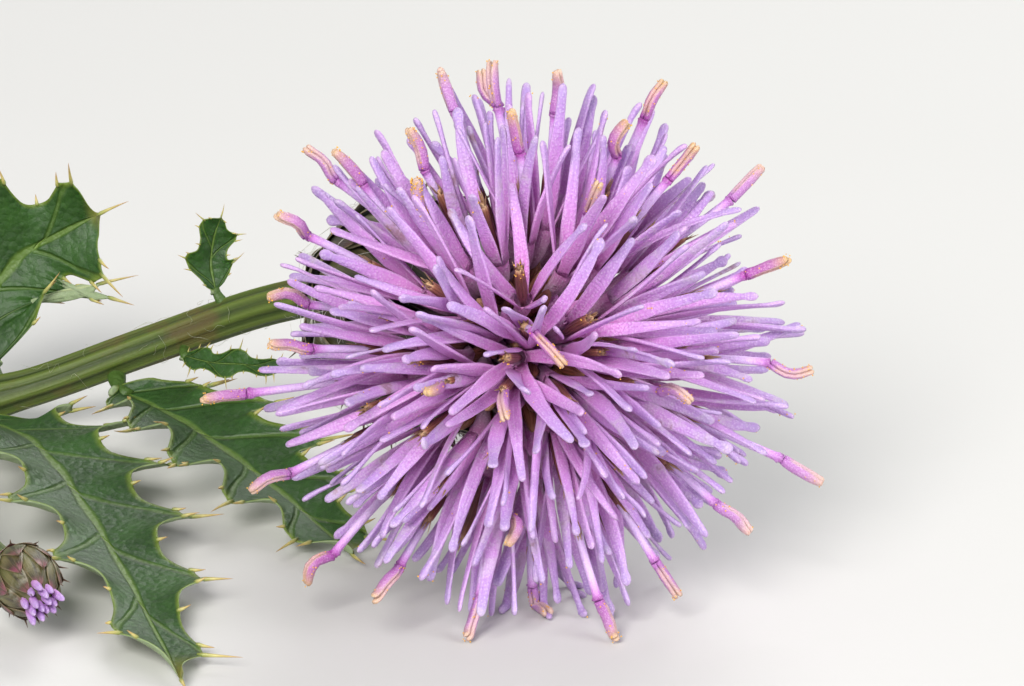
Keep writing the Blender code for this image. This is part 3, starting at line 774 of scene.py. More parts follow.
def lobeGrids(lines, normals, halfWidth, thickness, groove, twist, waves, knob):
    # half the width is the lobe's own, drawn in at its foot and rounded off at its tip like the
    # end of an ellipse; the margins waver, and a knob widens the end of some lobes past a short
    # neck; the section is boxy, and over the middle of the inner face it is less by the groove
    s = lobeRows[None]
    foot = 0.72 + 0.28 * softStep(s, 0.0, 0.36)
    taper = 1 - 0.5 * softStep(s, 0.3, 1.06)
    end = np.sqrt(np.clip(1 - (np.clip(s - 0.95, 0, 1) / 0.05) ** 2.2, 0.02, 1))
    waver = 1 + 0.07 * np.sin(2 * np.pi * (waves[:, :1] * s + waves[:, 1:]))
    neck = 1 + knob[:, None] * (np.exp(-((s - 0.955) / 0.03) ** 2)
                                - 0.8 * np.exp(-((s - 0.86) / 0.05) ** 2))
    wide = halfWidth[:, None] * foot * taper * end * waver * neck
    fuller = 0.8 + 0.2 * softStep(s, 0.0, 0.3) + 0.25 * softStep(s, 0.8, 0.93)
    thick = thickness[:, None] * fuller * (0.25 + 0.75 * end)
    steep = np.abs(np.sin(lobeAngle))
    boxy = steep ** -0.35
    dip = boxy - groove[:, None, None] * (1 - softStep(s, 0.75, 0.93))[..., None] * steep**3
    high = thick[..., None] * np.where(np.sin(lobeAngle) > 0, dip, 0.85 * boxy)
    turned = (np.radians(twist)[:, None] * s)[..., None]
    tangents = tangentsOf(lines)
    normals = squareTo(normals, tangents)
    across = np.cross(normals, tangents)
    normals = normals * np.cos(turned) + across * np.sin(turned)
    return wrapped(lines, normals, wide[..., None], high, len(lobeAngle), tangents)


bendTraits = ("start", "bow", "sway", "length", "hood")


def lobeTraits(chance, facing):
    # each lobe's own values; those of the florets at the middle of the face spread wider
    shape = (len(facing), floret["lobes"])
    return {
        "spread": chance.uniform(*floret["lobeSpread"], shape) + floret["lobeOpening"] * facing**2,
        "start": chance.uniform(*floret["lobeStart"], shape),
        "bow": chance.uniform(*floret["lobeBow"], shape),
        "sway": chance.normal(0, floret["lobeSway"], shape),
        "length": chance.uniform(*floret["lobeLength"], shape),
        "hood": chance.uniform(*floret["lobeHood"], shape),
    }


def openLobes(chance, throats, axes, sides, spread, traits):
    # the middle lines and the grids of all the florets' lobes at once
    count = spread.size
    lobeThroats, lobeAxes = (np.repeat(v, floret["lobes"], axis=0) for v in (throats, axes))
    lobeSides = sides.reshape(-1, 3)
    own = [traits[name].ravel() for name in bendTraits]
    lines, normals = lobeLines(lobeThroats, lobeAxes, lobeSides, spread.ravel(), *own, lobeRows)
    halfWidth = chance.uniform(*floret["lobeHalfWidth"], count)
    thickness = floret["lobeThickness"] * chance.uniform(*floret["lobeThicker"], count)
    groove = chance.choice(floret["lobeGrooves"], count)
    twist = chance.normal(0, floret["lobeTwist"], count)
    waves = np.stack([chance.uniform(*floret["lobeWaves"], count), chance.uniform(0, 1, count)], axis=1)
    knob = chance.choice(floret["lobeKnobs"], count)
    tilt = np.abs(np.cross(lobeAxes, lobeSides)[:, 2])
    lines = laidOnSurface(lines, head["skin"] + thickness + tilt * halfWidth)
    return lines, lobeGrids(lines, normals, halfWidth, thickness, groove, twist, waves, knob)


def buildFlorets():
    chance = np.random.default_rng(floret["seed"])
    directions, styleLengths, closed = floretDirections()
    styleLengths = np.where(styleLengths > 0, styleLengths + floret["styleExtra"], 0)
    count = len(directions)
    axes = directions @ headTurn.T
    throats = fromHead(throatsOf(directions))
    seats = fromHead(floretSeats(directions))
    facing = np.clip(axes @ faceMiddle, 0, 1)[:, None]
    traits = lobeTraits(chance, facing)
    antherLength = chance.uniform(*floret["antherLength"], count)
    reach = np.where(styleLengths > 0, styleLengths, antherLength)
    rods = throats[:, None] + axes[:, None] * (np.linspace(0, 1, 18)[None, :, None] * reach[:, None, None])
    turn, spread = openStars(throats, axes, rods, traits)
    print("florets: stars opened")

    lobeMiddles, lobes = openLobes(chance, throats, axes, starSides(axes, turn), spread, traits)
    lobes = lobes.reshape(count, floret["lobes"], *lobes.shape[1:])
    lobeTint = (chance.uniform(0, 0.75, spread.shape) + 0.25 * (1 - facing))[:, :, None, None]
    lobeMarks = {"along": lobeRows[None, :, None], "rim": np.abs(np.cos(lobeAngle)),
                 "inner": np.where(np.sin(lobeAngle) > 0, 1.0, 0.0)}
    tubes, tubeAlong = corollaTubes(seats, throats, axes)
    anthers, antherAlong, slivers, sliverAlong = antherShapes(chance, throats, axes, antherLength)
    shafts, shaftAlong, arms, armAlong, armSeam, armLines = styleShapes(
        chance, throats, axes, styleLengths, antherLength)
    finishes = [corollaFinish(), antherFinish(), styleFinish(),
                grainyFinish("pollenFinish", 16000.0, 3.0, (206, 128, 40), (246, 206, 92), 0.6, 1.0)]
    groups = [[k] for k in range(solidFlorets)]
    groups += [list(range(k, min(k + 3, count))) for k in range(solidFlorets, count, 3)]
    for number, members in enumerate(groups):
        piece = Piece(f"floret{number + 1:02d}")
        for k in members:
            piece.addGrids(lobes[k], 0, tint=lobeTint[k], **lobeMarks)
            piece.addGrids(tubes[k:k + 1], 0, along=tubeAlong, tint=0.45)
            piece.addGrids(anthers[k:k + 1], 1, along=antherAlong)
            piece.addGrids(slivers[k], 1, along=sliverAlong)
            if styleLengths[k] > 0:
                tint = float(chance.uniform(0, 1))
                piece.addGrids(shafts[k:k + 1], 2, along=shaftAlong, tint=tint)
                piece.addGrids(arms[k], 2, along=armAlong, rim=armSeam, tint=tint)
                dusted = k == pollen["dusted"]
                grains = pollen["dustedGrains"] if dusted else int(chance.integers(*pollen["grains"]))
                piece.addGrids(pollenOn(chance, armLines[k], grains, pollen["styleAway"]), 3)
            else:
                rise = antherLength[k] + np.linspace(-0.4, 0.3, 5)[:, None]
                grains = int(chance.integers(*pollen["antherGrains"]))
                line = throats[k] + axes[k] * rise
                piece.addGrids(pollenOn(chance, line, grains, pollen["antherAway"]), 3)
            lobe = k * floret["lobes"] + int(chance.integers(floret["lobes"]))
            dust = pollenOn(chance, lobeMiddles[lobe][3:], pollen["lobeGrains"], pollen["lobeAway"])
            piece.addGrids(dust, 3)
        nodes = [f"floret_{number + 1:02d}"] if number < solidFlorets else []
        piece.build(finishes, "petal", *nodes)
    buildClosedFlorets(closed, finishes[:2])
    return seats, throats, axes


def buildClosedFlorets(directions, finishes):
    # a thin tube that swells near its end to five blunt ridges and closes
    chance = np.random.default_rng(closedFloret["seed"])
    count = len(directions)
    sides = floret["tubeSides"]
    axes = directions @ headTurn.T
    reach = chance.uniform(*closedFloret["reach"], count)[:, None]
    lean = np.degrees(np.arccos(np.clip(directions[:, 2:], -1, 1))) / floret["domeEdge"]
    foot = unit(directions[:, :2]) * lean * floret["seatRadius"]
    seat = fromHead(np.column_stack([foot, np.full(count, floret["seatHeight"])]))
    tip = focus + axes * reach
    share = profile(0, 0.3, 0.5, 0.62, 0.72, 0.8, 0.87, 0.925, 0.96, 0.985, 1)
    line = bezier(seat[:, None], (seat + headAxis * floret["tubeRise"])[:, None],
                  (tip - axes * floret["tubeLead"])[:, None], tip[:, None], share)
    swell = profile(0.3, 0.32, 0.4, 0.6, 0.84, 0.97, 1, 0.9, 0.68, 0.42, 0.14)
    radius = chance.uniform(*closedFloret["radius"], count)[:, None, None] * swell
    radius = radius * (1 + 0.1 * np.cos(5 * roundAngles(sides)))
    grids = wrapped(line, anySquare(headAxis[None])[0], radius, radius, sides)
    brown = chance.uniform(0, 1, count) < closedFloret["brown"]
    reached = chance.uniform(0.7, 1.0, count)[:, None, None]
    tint = chance.uniform(0, 0.6, count)[:, None, None]
    piece = Piece("closedFlorets")
    piece.addGrids(grids[brown], 1, along=share * reached[brown])
    piece.addGrids(grids[~brown], 0, along=share * 0.24 - 0.12, tint=tint[~brown])
    piece.build(finishes, "petal")


def antherShapes(chance, throats, axes, lengths):
    # five anthers joined in a tube, whose radius swells towards its middle and is fluted by five
    # ridges; a tuft of slivers stands on its rim, each leaning a little its own way
    s = np.array([-0.22, 0.0, 0.1, 0.3, 0.55, 0.8, 0.93, 1.0])
    sides = floret["tubeSides"]
    bend = squareTo(chance.normal(0, 1, throats.shape), axes)
    lines = (throats[:, None] + axes[:, None] * (s[None, :] * lengths[:, None])[..., None]
             + bend[:, None] * (0.1 * np.clip(s, 0, 1)[None, :, None] ** 2))
    flute = 1 + 0.08 * np.cos(5 * roundAngles(sides))
    radius = floret["antherRadius"] * profile(0.5, 0.62, 0.85, 1.05, 1.1, 1, 0.92, 0.55) * flute
    tubes = wrapped(lines, bend[:, None], radius, radius, sides)
    shape = (len(throats), floret["tuft"])
    turn = chance.uniform(-floret["sliverTurn"], floret["sliverTurn"], shape)
    angle = np.radians(360 / shape[1] * np.arange(shape[1]) + turn)[..., None]
    out = bend[:, None] * np.cos(angle) + np.cross(axes, bend)[:, None] * np.sin(angle)
    lean = np.radians(chance.uniform(*floret["sliverLean"], shape))[..., None]
    way = unit(axes[:, None] * np.cos(lean) + out * np.sin(lean))
    away = floret["antherRadius"] * chance.uniform(*floret["sliverFoot"], (*shape, 1))
    foot = lines[:, -2][:, None] + out * away
    length = chance.uniform(*floret["sliverLength"], shape)[..., None, None]
    slivers = foot[:, :, None] + way[:, :, None] * (np.array([0, 0.35, 0.75, 1])[:, None] * length)
    size = profile(0.06, 0.055, 0.035, 0.008)
    slivers = wrapped(slivers.reshape(-1, 4, 3), out.reshape(-1, 1, 3), size, size * 0.4, 5)
    return (tubes, np.clip(s, 0, 1)[None, :, None], slivers.reshape(*shape, *slivers.shape[1:]),
            profile(0.9, 0.97, 1, 1))


def bentLine(foot, axes, bend, degrees, lengths):
    # from the foot, steps of these lengths, each turned from the axis to the bend by its angle
    angle = np.radians(degrees)[..., None]
    way = axes[:, None] * np.cos(angle) + bend[:, None] * np.sin(angle)
    return foot + np.cumsum(way * lengths[..., None], axis=1)


def styleShapes(chance, throats, axes, lengths, antherLength):
    # the shaft leans away from the axis as it rises, ends in a ragged ring, and carries two arms
    # pressed together, which turn by the kink and then curve evenly
    sides = floret["tubeSides"]
    count = len(throats)
    bend = squareTo(chance.normal(0, 1, throats.shape), axes)
    lean = chance.uniform(*styleBend["lean"], count)[:, None]
    kink = chance.uniform(-1, 1, count) ** 3 * styleBend["kink"] + chance.choice(styleBend["step"], count)
    kink = kink[:, None]
    curve = -kink * chance.uniform(*styleBend["curve"], (count, 1))
    curve = curve + chance.normal(0, styleBend["curveSpread"], (count, 1))
    wiggle = chance.normal(0, styleBend["wiggle"], (count, 1))
    curled = curledStyle["floret"]
    bend[curled] = squareTo(clockDirection(curledStyle["clock"], 90) @ headTurn.T, axes[curled])
    lean[curled], kink[curled], curve[curled] = (curledStyle[name] for name in ("lean", "kink", "curve"))
    wiggle[curled] = 0
    s = np.array([0.0, 0.15, 0.35, 0.55, 0.72, 0.85, 0.925, 0.955, 0.975, 1.0])
    start = antherLength - 0.6
    run = np.maximum(lengths - floret["armLength"] - start, 0.4)
    foot = (throats + axes * start[:, None])[:, None]
    shaft = bentLine(foot, axes, bend, lean * (s[1:] + s[:-1]) / 2, run[:, None] * np.diff(s))
    t = np.array([0.0, 0.08, 0.22, 0.4, 0.58, 0.74, 0.87, 0.95, 1.0])
    middle = (t[1:] + t[:-1]) / 2
    degrees = lean + kink + curve * middle + wiggle * np.sin(2 * np.pi * middle)
    arm = bentLine(shaft[:, -1:], axes, bend, degrees, floret["armLength"] * np.diff(t)[None])
    whole = laidOnSurface(np.concatenate([foot, shaft, arm], axis=1), head["skin"] + floret["armRoom"])
    shaftLine, armLine = whole[:, :len(s)], whole[:, len(s) - 1:]
    ring = np.array([0.9, 0.94, 0.98, 1, 1.02, 1.06, 1.12, 1.32, 1.34, 1.2])
    ragged = 1 + chance.uniform(-0.2, 0.2, (count, len(s), sides)) * (ring > 1.3)[None, :, None]
    radius = floret["styleRadius"] * ring[None, :, None] * ragged
    # the third direction is square to the plane the style bends in, so it never meets the line
    third = np.cross(axes, bend)[:, None]
    shafts = wrapped(shaftLine, third, radius, radius, sides)
    turned = chance.choice([0.0, 1.0], count)[:, None, None]
    armWay = tangentsOf(armLine)
    split = squareTo(third * turned + np.cross(third, armWay) * (1 - turned), armWay)
    parting = (0.085 + chance.choice([0.0, 0.0, 0.01, 0.06], (count, 1)) * t[None] ** 3)[..., None]
    uneven = 1 + chance.uniform(-0.08, 0.08, (count, len(t), 1))
    high = 0.142 * profile(1, 1, 1.02, 1.05, 1.05, 1.02, 0.98, 0.86, 0.5) * uneven
    wide = high * profile(1.5, 1.55, 1.6, 1.6, 1.55, 1.5, 1.42, 1.3, 1.2)
    # the face that meets the other arm is flat, so its half of the section is shallow
    angle = roundAngles(sides)
    flat = np.where(np.sin(angle) < 0, 0.72, 1.0)
    arms = np.stack([wrapped(armLine + split * parting * way, split * way, wide, high * flat, sides)
                     for way in (1, -1)], axis=1)
    seam = np.clip(np.where(np.sin(angle) < 0.1, 1.0, 0.0) + np.cos(angle) ** 2 * 0.6, 0, 1)
    return shafts, s[None, :, None], arms, (1 + t)[None, :, None], seam, armLine


def pollenOn(chance, line, count, away):
    # grains at random places along a line and about it, each a small ball of three rows
    place = chance.uniform(0, len(line) - 1.001, count)
    low = place.astype(int)
    step = line[low + 1] - line[low]
    around = squareTo(chance.normal(0, 1, (count, 3)), unit(step))
    centre = line[low] + step * (place - low)[:, None] + around * away
    size = chance.uniform(*pollen["size"], count)[:, None, None]
    rise = np.radians([-52, 0, 52])[None, :, None]
    lines = centre[:, None] + around[:, None] * np.sin(rise) * size
    radius = np.cos(rise) * size
    tangents = np.repeat(around[:, None], 3, axis=1)
    return wrapped(lines, anySquare(around)[:, None], radius, radius, 5, tangents)


seats, throats, floretAxes = buildFlorets()
print("florets: built")


# The pappus: the bristles that stand round each floret's tube inside the cup of bracts.

pappus = {
    "bristles": 13,            # to each floret
    "radius": 0.017,
    "foot": 0.12,              # where they start, as a share of the tube's line
    "length": (0.42, 0.6),     # and where they end
    "spread": 0.46,            # from the tube at the bristles' tips
    "seed": 5,
}


def pappusFinish():
    f = Finish("pappusFinish")
    grain = f.noise(9000.0, 3.0)
    # the bristles are white in themselves; this grey-brown, darkest at their feet and flecked darker, is
    # painted shade deep inside the head
    colour = f.mix((f.mark("along") * 0.8).kept(), paint(150, 138, 122), paint(186, 178, 170))
    return f.finished(Base_Color=f.mix((grain - 0.4).kept(), colour, paint(150, 132, 118)), Roughness=0.5,
                      Subsurface_Weight=0.1, Subsurface_Scale=0.0002, Normal=f.bump(grain, 0.00001, 0.6))


def buildPappus(seats, throats, axes):
    # each bristle follows its floret's tube, and stands off it by a distance that grows evenly
    chance = np.random.default_rng(pappus["seed"])
    count = len(seats) * pappus["bristles"]
    seat, throat, axis = (np.repeat(v, pappus["bristles"], axis=0)[:, None] for v in (seats, throats, axes))
    end = chance.uniform(*pappus["length"], count)[:, None, None]
    t = profile(0, 0.3, 0.6, 0.85, 1)
    line = bezier(seat, seat + headAxis * floret["tubeRise"], throat - axis * floret["tubeLead"], throat,
                  pappus["foot"] + (end - pappus["foot"]) * t)
    out = squareTo(chance.normal(0, 1, (count, 1, 3)), tangentsOf(line))
    line = line + out * (0.2 + pappus["spread"] * chance.uniform(0.3, 1, (count, 1, 1)) * t)
    radius = pappus["radius"] * profile(1, 1, 0.9, 0.7, 0.3)
    piece = Piece("pappus")
    piece.addGrids(wrapped(line, out, radius, radius, 3), along=t)
    piece.build([pappusFinish()], "petal")


buildPappus(seats, throats, floretAxes)
print("pappus: built")


# The cup of bracts round the florets' tubes.

bract = {
    "outline": ((-14.3, 1.9), (-13.4, 4.2), (-11.0, 5.4), (-7.5, 5.6), (-4.2, 5.0), (-2.0, 4.6)),
    "series": (                # count, foot and top as shares of the outline, half width, inset
        (7, 0.015, 0.20, 0.95, 0.06),
        (8, 0.04, 0.31, 1.15, 0.12),
        (9, 0.10, 0.42, 1.30, 0.20),
        (10, 0.18, 0.53, 1.40, 0.28),
        (10, 0.28, 0.65, 1.42, 0.38),
        (11, 0.36, 0.77, 1.36, 0.50),
        (11, 0.45, 0.89, 1.24, 0.62),
        (11, 0.55, 1.00, 1.08, 0.74),
    ),
    "thickness": 0.13,
    "tuck": 0.42,              # how much deeper a bract's foot lies than its tip
    "spine": (0.55, 1.15),
    "spineRadius": 0.07,
    "spineLift": (0.15, 0.7),  # how strongly a spine turns outward from its bract's own way
    "threads": 22,             # cobweb threads to each of the twelve pieces
    "threadRows": (6, 14),     # of a bract's grid, that a thread may start from
    "threadLength": (0.9, 2.8),
    "threadRadius": 0.014,
    "threadHeight": 0.22,
    "seed": 23,
}


def bractFinish(name="bractFinish", body=(58, 52, 34), tip=(58, 34, 42)):
    f = Finish(name)
    along, rim, tint = f.marks("along", "rim", "tint")
    fibres = f.noise(1.0, 4.0, f.surface(30.0, 3.0))
    blotch = f.noise(1100.0, 4.0, rough=0.65)
    base = f.ramp(along, [(0.0, paint(92, 92, 58)), (0.4, paint(*body)), (0.72, paint(50, 39, 29)),
                          (0.88, paint(*tip)), (1.0, paint(96, 62, 52))])
    green = f.mix(tint * 0.5, base, paint(74, 86, 44))
    keel = f.mix((1 - rim.rise(0.05, 0.22)) * along.rise(0.25, 0.6) * 0.75, green, paint(34, 26, 20))
    edge = f.mix(rim.rise(0.78, 1.0) * 0.6, keel, paint(142, 128, 100))
    woolly = (blotch.rise(0.52, 0.7) * (0.4 + rim * 0.6)).kept()
    colour = f.mix(woolly * 0.55, edge, paint(186, 182, 170))
    streaked = f.mix((fibres - 0.4).kept() * 0.9, colour, paint(150, 132, 96))
    return f.finished(Base_Color=streaked, Roughness=0.42 + woolly * 0.4, Subsurface_Weight=0.04,
                      Subsurface_Scale=0.0003, Normal=f.bump(fibres * 1.2 + blotch * 0.8, 0.00005, 0.9))


def outlinePoint(outline, share, inset):
    # radius and height on a cup's outline, moved inwards along the outline's own normal
    line = throughKnots([(radius, height) for height, radius in outline], 80)
    at = np.linspace(0, 1, len(line))
    slope = unit(np.gradient(line, axis=0))
    share = np.clip(share, 0, 1)
    place = np.stack([np.interp(share, at, line[:, k]) for k in range(2)], axis=-1)
    along = np.stack([np.interp(share, at, slope[:, k]) for k in range(2)], axis=-1)
    return place + np.stack([-along[..., 1], along[..., 0]], axis=-1) * np.asarray(inset)[..., None]


def scaleSheets(chance, cup, size=1.0):
    # a scale's half width is w (1 - s^2.6)^0.8, widened at its middle; it follows the outline, its
    # foot tucked in, its middle bowed out over its width, and its tip lifted a little
    s = np.linspace(0, 1, 15)[None, :, None] ** 0.85
    v = np.linspace(-1, 1, 9)[None, None, :]
    sheets, order, angles = [], [], []
    for level, (count, foot, top, half, inset) in enumerate(cup["series"]):
        around = (np.arange(count) + 0.5 * (level % 2)) * 2 * np.pi / count + level * 0.7
        around = (around + chance.normal(0, 0.05, count))[:, None, None]
        top = (top + chance.uniform(-0.02, 0.02, count))[:, None, None]
        depth = (inset + cup["tuck"] * size * (1 - s) ** 1.3 - 0.10 * size * s**5
                 - 0.07 * size * (1 - v**2) * (1 - s * 0.3))
        share, depth = np.broadcast_arrays(foot + (top - foot) * s, depth)
        radius, height = np.moveaxis(outlinePoint(cup["outline"], share, depth), -1, 0)
        width = half * np.clip(1 - s**2.6, 0.0006, 1) ** 0.8 * (0.72 + 0.28 * np.sin(np.pi * s) ** 0.8)
        radius = np.maximum(radius, 0.15)
        angle = around + v * width / np.maximum(radius, 0.6)
        sheets.append(np.stack([radius * np.cos(angle), radius * np.sin(angle), height], axis=-1))
        order.append(np.full(count, level))
        angles.append(around[:, 0, 0] % (2 * np.pi))
    faces = np.concatenate(sheets)
    tips = faces[:, -1, 4]
    aims = unit(tips - faces[:, -3, 4])
    thick = np.array([0.35, 0.7, 0.9, 1, 1.1, 1, 0.9, 0.7, 0.35])
    grids = closedSheets(faces, cup["thickness"] * thick * (1 - 0.5 * s**2))
    rim = np.abs(np.concatenate([v, v[..., ::-1]], axis=-1))
    return grids, s, rim, tips, aims, np.concatenate(order), np.concatenate(angles)


def spines(tips, aims, lengths, radius, bend):
    # a spine tapers from its foot, just inside the tip, to a point, and curves by the bend
    t = profile(-0.18, 0, 0.3, 0.65, 0.9, 1)
    line = tips[:, None] + aims[:, None] * t * lengths[:, None, None] + bend[:, None] * t**2 * (t > 0)
    size = radius * profile(0.75, 1, 0.72, 0.42, 0.16, 0.03)
    return wrapped(line, anySquare(aims)[:, None], size, size, 6)


thread = {                     # a cobweb thread or a hair
    "waver": 0.16,             # sideways, as a share of its length
    "waves": (4, 9),
    "curl": 0.35,
    "arch": (0.4, 1.3),        # times the height it is given
    "clear": 0.03,             # above the surface at its ends
}


def threadsOver(chance, feet, normals, length, radius, height):
    # a thread runs off sideways from its foot, wavers, and arches over the surface
    count = len(feet)
    way = squareTo(chance.normal(0, 1, (count, 3)), normals)
    side = np.cross(way, normals)
    t = np.linspace(0, 1, 8)[None, :, None]
    run = chance.uniform(*length, count)[:, None, None]
    each = (count, 1, 1)
    waver = chance.normal(0, thread["waver"], each) * np.sin(t * chance.uniform(*thread["waves"], each))
    curl = chance.normal(0, thread["curl"], each) * t**2
    rise = height * np.sin(np.pi * t) * chance.uniform(*thread["arch"], each)
    line = (feet[:, None] + way[:, None] * run * (t - 0.5) + side[:, None] * run * (waver + curl)
            + normals[:, None] * (rise + thread["clear"]))
    size = radius * profile(0.5, 1, 1, 1, 1, 1, 1, 0.4)
    return wrapped(line, normals[:, None], size, size, 3)


def buildBracts():
    # six pieces of the inner series and six of the outer ones, each a sixth of the way round
    chance = np.random.default_rng(bract["seed"])
    grids, along, rim, tips, aims, order, angles = scaleSheets(chance, bract)
    outward = unit(tips * [1, 1, 0])
    aims = unit(aims + outward * chance.uniform(*bract["spineLift"], len(tips))[:, None])
    lengths = chance.uniform(*bract["spine"], len(tips)) * np.where(order < 5, 1.0, 0.55)
    thorns = spines(tips, aims, lengths, bract["spineRadius"], outward * lengths[:, None] * 0.15)
    tint = chance.uniform(0, 1, len(tips))[:, None, None]
    finishes = [bractFinish(),
                grainyFinish("threadFinish", 6000.0, 3.0, (168, 164, 154), (232, 230, 224), 0.6, 0.6)]
    threads = bract["threads"]
    for layer, ofLayer, shift in (("inner", order >= 4, 0.5), ("outer", order < 4, 0.0)):
        sector = np.floor(angles / (np.pi / 3) + shift).astype(int) % 6
        for k in range(6):
            chosen = ofLayer & (sector == k)
            piece = Piece(f"{layer}Bracts{k + 1}")
            piece.addGrids(fromHead(grids[chosen]), 0, along=along, rim=rim, tint=tint[chosen])
            piece.addGrids(fromHead(thorns[chosen]), 0, along=1.0, rim=0.6, tint=0.2)
            places = np.flatnonzero(chosen)[chance.integers(0, chosen.sum(), threads)]
            rows = chance.integers(*bract["threadRows"], threads)
            feet = grids[places, rows, chance.integers(0, 9, threads)]
            webs = threadsOver(chance, feet, unit(feet * [1, 1, 0]), bract["threadLength"],
                               bract["threadRadius"], bract["threadHeight"])
            piece.addGrids(fromHead(webs), 1)
            piece.build(finishes, "bract", f"{layer}_bract_{k + 1}")


buildBracts()
print("bracts: built")


# The stem, which swells at its top into the receptacle.

stem = {
    "radius": 0.92,
    "knots": (
        (-8.7, 16.4, 8.2), (-12.4, 19.2, 6.5), (-17.6, 20.6, 4.2), (-23.4, 20.6, 2.1),
        (-29.0, 20.0, 1.15), (-35.5, 19.3, 0.97), (-43.0, 18.6, 0.97),
    ),
    "flare": (                 # distance from the focus and radius, from the middle of the disc
        (-11.16, 0.5), (-11.18, 1.6), (-11.24, 2.7), (-11.36, 3.14), (-11.62, 3.2),
        (-12.0, 2.9), (-12.45, 2.3), (-12.9, 1.6), (-13.3, 1.2), (-13.7, 1.0),
    ),
    "neck": ((-14.2,), (-15.0,)),      # the first knots, along the head's axis
    "rows": 90,
    "sides": 48,
    "ribs": 8,
    "ribDepth": 0.075,
    "knee": (-24.6, 1.1, 0.14),        # where a leaf grows: its place, half length and swelling
    "hairs": 170,              # tried; the lowest are left out
    "hairLength": (0.4, 1.3),
    "hairRadius": 0.007,
    "hairHeight": 0.14,
    "seed": 31,
}


def stemFinish(name="stemFinish"):
    f = Finish(name)
    along, rib, cut = f.marks("along", "rim", "inner")
    fibres = f.noise(1.0, 4.0, f.surface(40.0, 6.0))
    blotch = f.noise(260.0, 4.0, rough=0.6)
    fine = f.noise(5200.0, 3.0)
    body = f.mix(rib, paint(44, 60, 14), paint(88, 106, 36))
    brown = f.mix((blotch.rise(0.5, 0.66) * 0.6).kept(), body, paint(92, 70, 36))
    pale = f.mix((fibres - 0.42).kept() * 0.8, brown, paint(122, 132, 70))
    purple = f.mix((1 - along.rise(0.0, 0.22)) * 0.35, pale, paint(104, 78, 62))
    pith = f.ramp(cut, [(0.0, paint(96, 110, 50)), (0.45, paint(150, 160, 104)), (0.6, paint(206, 208, 172)),
                        (1.0, paint(226, 222, 196))])
    whole = f.mix(cut.rise(0.02, 0.1), purple, pith)
    return f.finished(Base_Color=whole, Roughness=0.5 + fine * 0.15, Subsurface_Weight=0.05,
                      Subsurface_Scale=0.0004, Normal=f.bump(fibres * 1.4 + fine * 0.5, 0.00006, 0.8))


def ribbedRod(line, tangents, radii, ribs, depth, sides):
    # the radius is r on a rib and less between ribs: at angle a, r (1 - depth (1 - cos ribs a))
    rib = (1 + np.cos(ribs * roundAngles(sides))) / 2
    size = radii[None, :, None] * (1 - depth * 2 * (1 - rib))
    grids = wrapped(line[None], [0.0, 0.0, 1.0], size, size, sides, tangents[None])
    return grids, rib


def buildStem():
    # the disc flares out, narrows to the stem and follows its knots down to the cut end, whose
    # last rows shrink to a slightly hollow middle
    chance = np.random.default_rng(stem["seed"])
    flare = np.array(stem["flare"])
    knots = np.vstack([focus + headAxis * stem["neck"], np.array(stem["knots"]) + layout])
    shaft = throughKnots(knots, stem["rows"])
    place, half, swelling = stem["knee"]
    swell = 1 + swelling * np.exp(-((shaft[:, 0] - layout[0] - place) / half) ** 2) * (shaft[:, 2] > 1.4)
    inset = np.array([0.97, 0.86, 0.6, 0.35, 0.12])
    hollow = np.array([0, 0.02, 0.05, 0.05, 0.04])[:, None]
    line = np.vstack([focus + headAxis * flare[:, :1], shaft])
    tangents = tangentsOf(line)
    tangents[:len(flare)] = -headAxis
    line = np.vstack([line, shaft[-1] - tangents[-1] * hollow])
    tangents = np.vstack([tangents, np.repeat(tangents[-1:], len(inset), axis=0)])
    radii = np.concatenate([flare[:, 1], stem["radius"] * swell, stem["radius"] * inset])
    # the rod lies on the surface, never in it
    resting = stem["radius"] + 0.02
    line[:, 2] = np.where(line[:, 2] < 2, np.maximum(line[:, 2], resting), line[:, 2])
    grids, rib = ribbedRod(line, tangents, radii, stem["ribs"], stem["ribDepth"], stem["sides"])
    along = np.clip((np.arange(len(line)) - len(flare)) / stem["rows"], 0, 1)[None, :, None]
    cut = np.zeros((1, len(line), 1))
    cut[0, -len(inset):, 0] = 1 - inset * 0.9
    piece = Piece("stemAndReceptacle")
    piece.addGrids(grids, 0, along=along, rim=rib, inner=cut)
    # short hairs over the stem, thicker near the head
    row = len(flare) + (chance.uniform(0, 1, stem["hairs"]) ** 1.7 * (stem["rows"] - 4)).astype(int)
    feet = grids[0, row, chance.integers(0, stem["sides"], stem["hairs"])]
    normals = unit(feet - line[row])
    high = feet[:, 2] > 0.6
    hairs = threadsOver(chance, feet[high], normals[high], stem["hairLength"], stem["hairRadius"],
                        stem["hairHeight"])
    piece.addGrids(hairs, 1)
    piece.build([stemFinish(), grainyFinish("hairFinish", 5000.0, 2.0, (140, 146, 112), (196, 198, 172),
                                            0.55, 0.5)], "stem", "stem")


buildStem()
print("stem: built")


# The leaves: lobed, wavy and edged with spines.

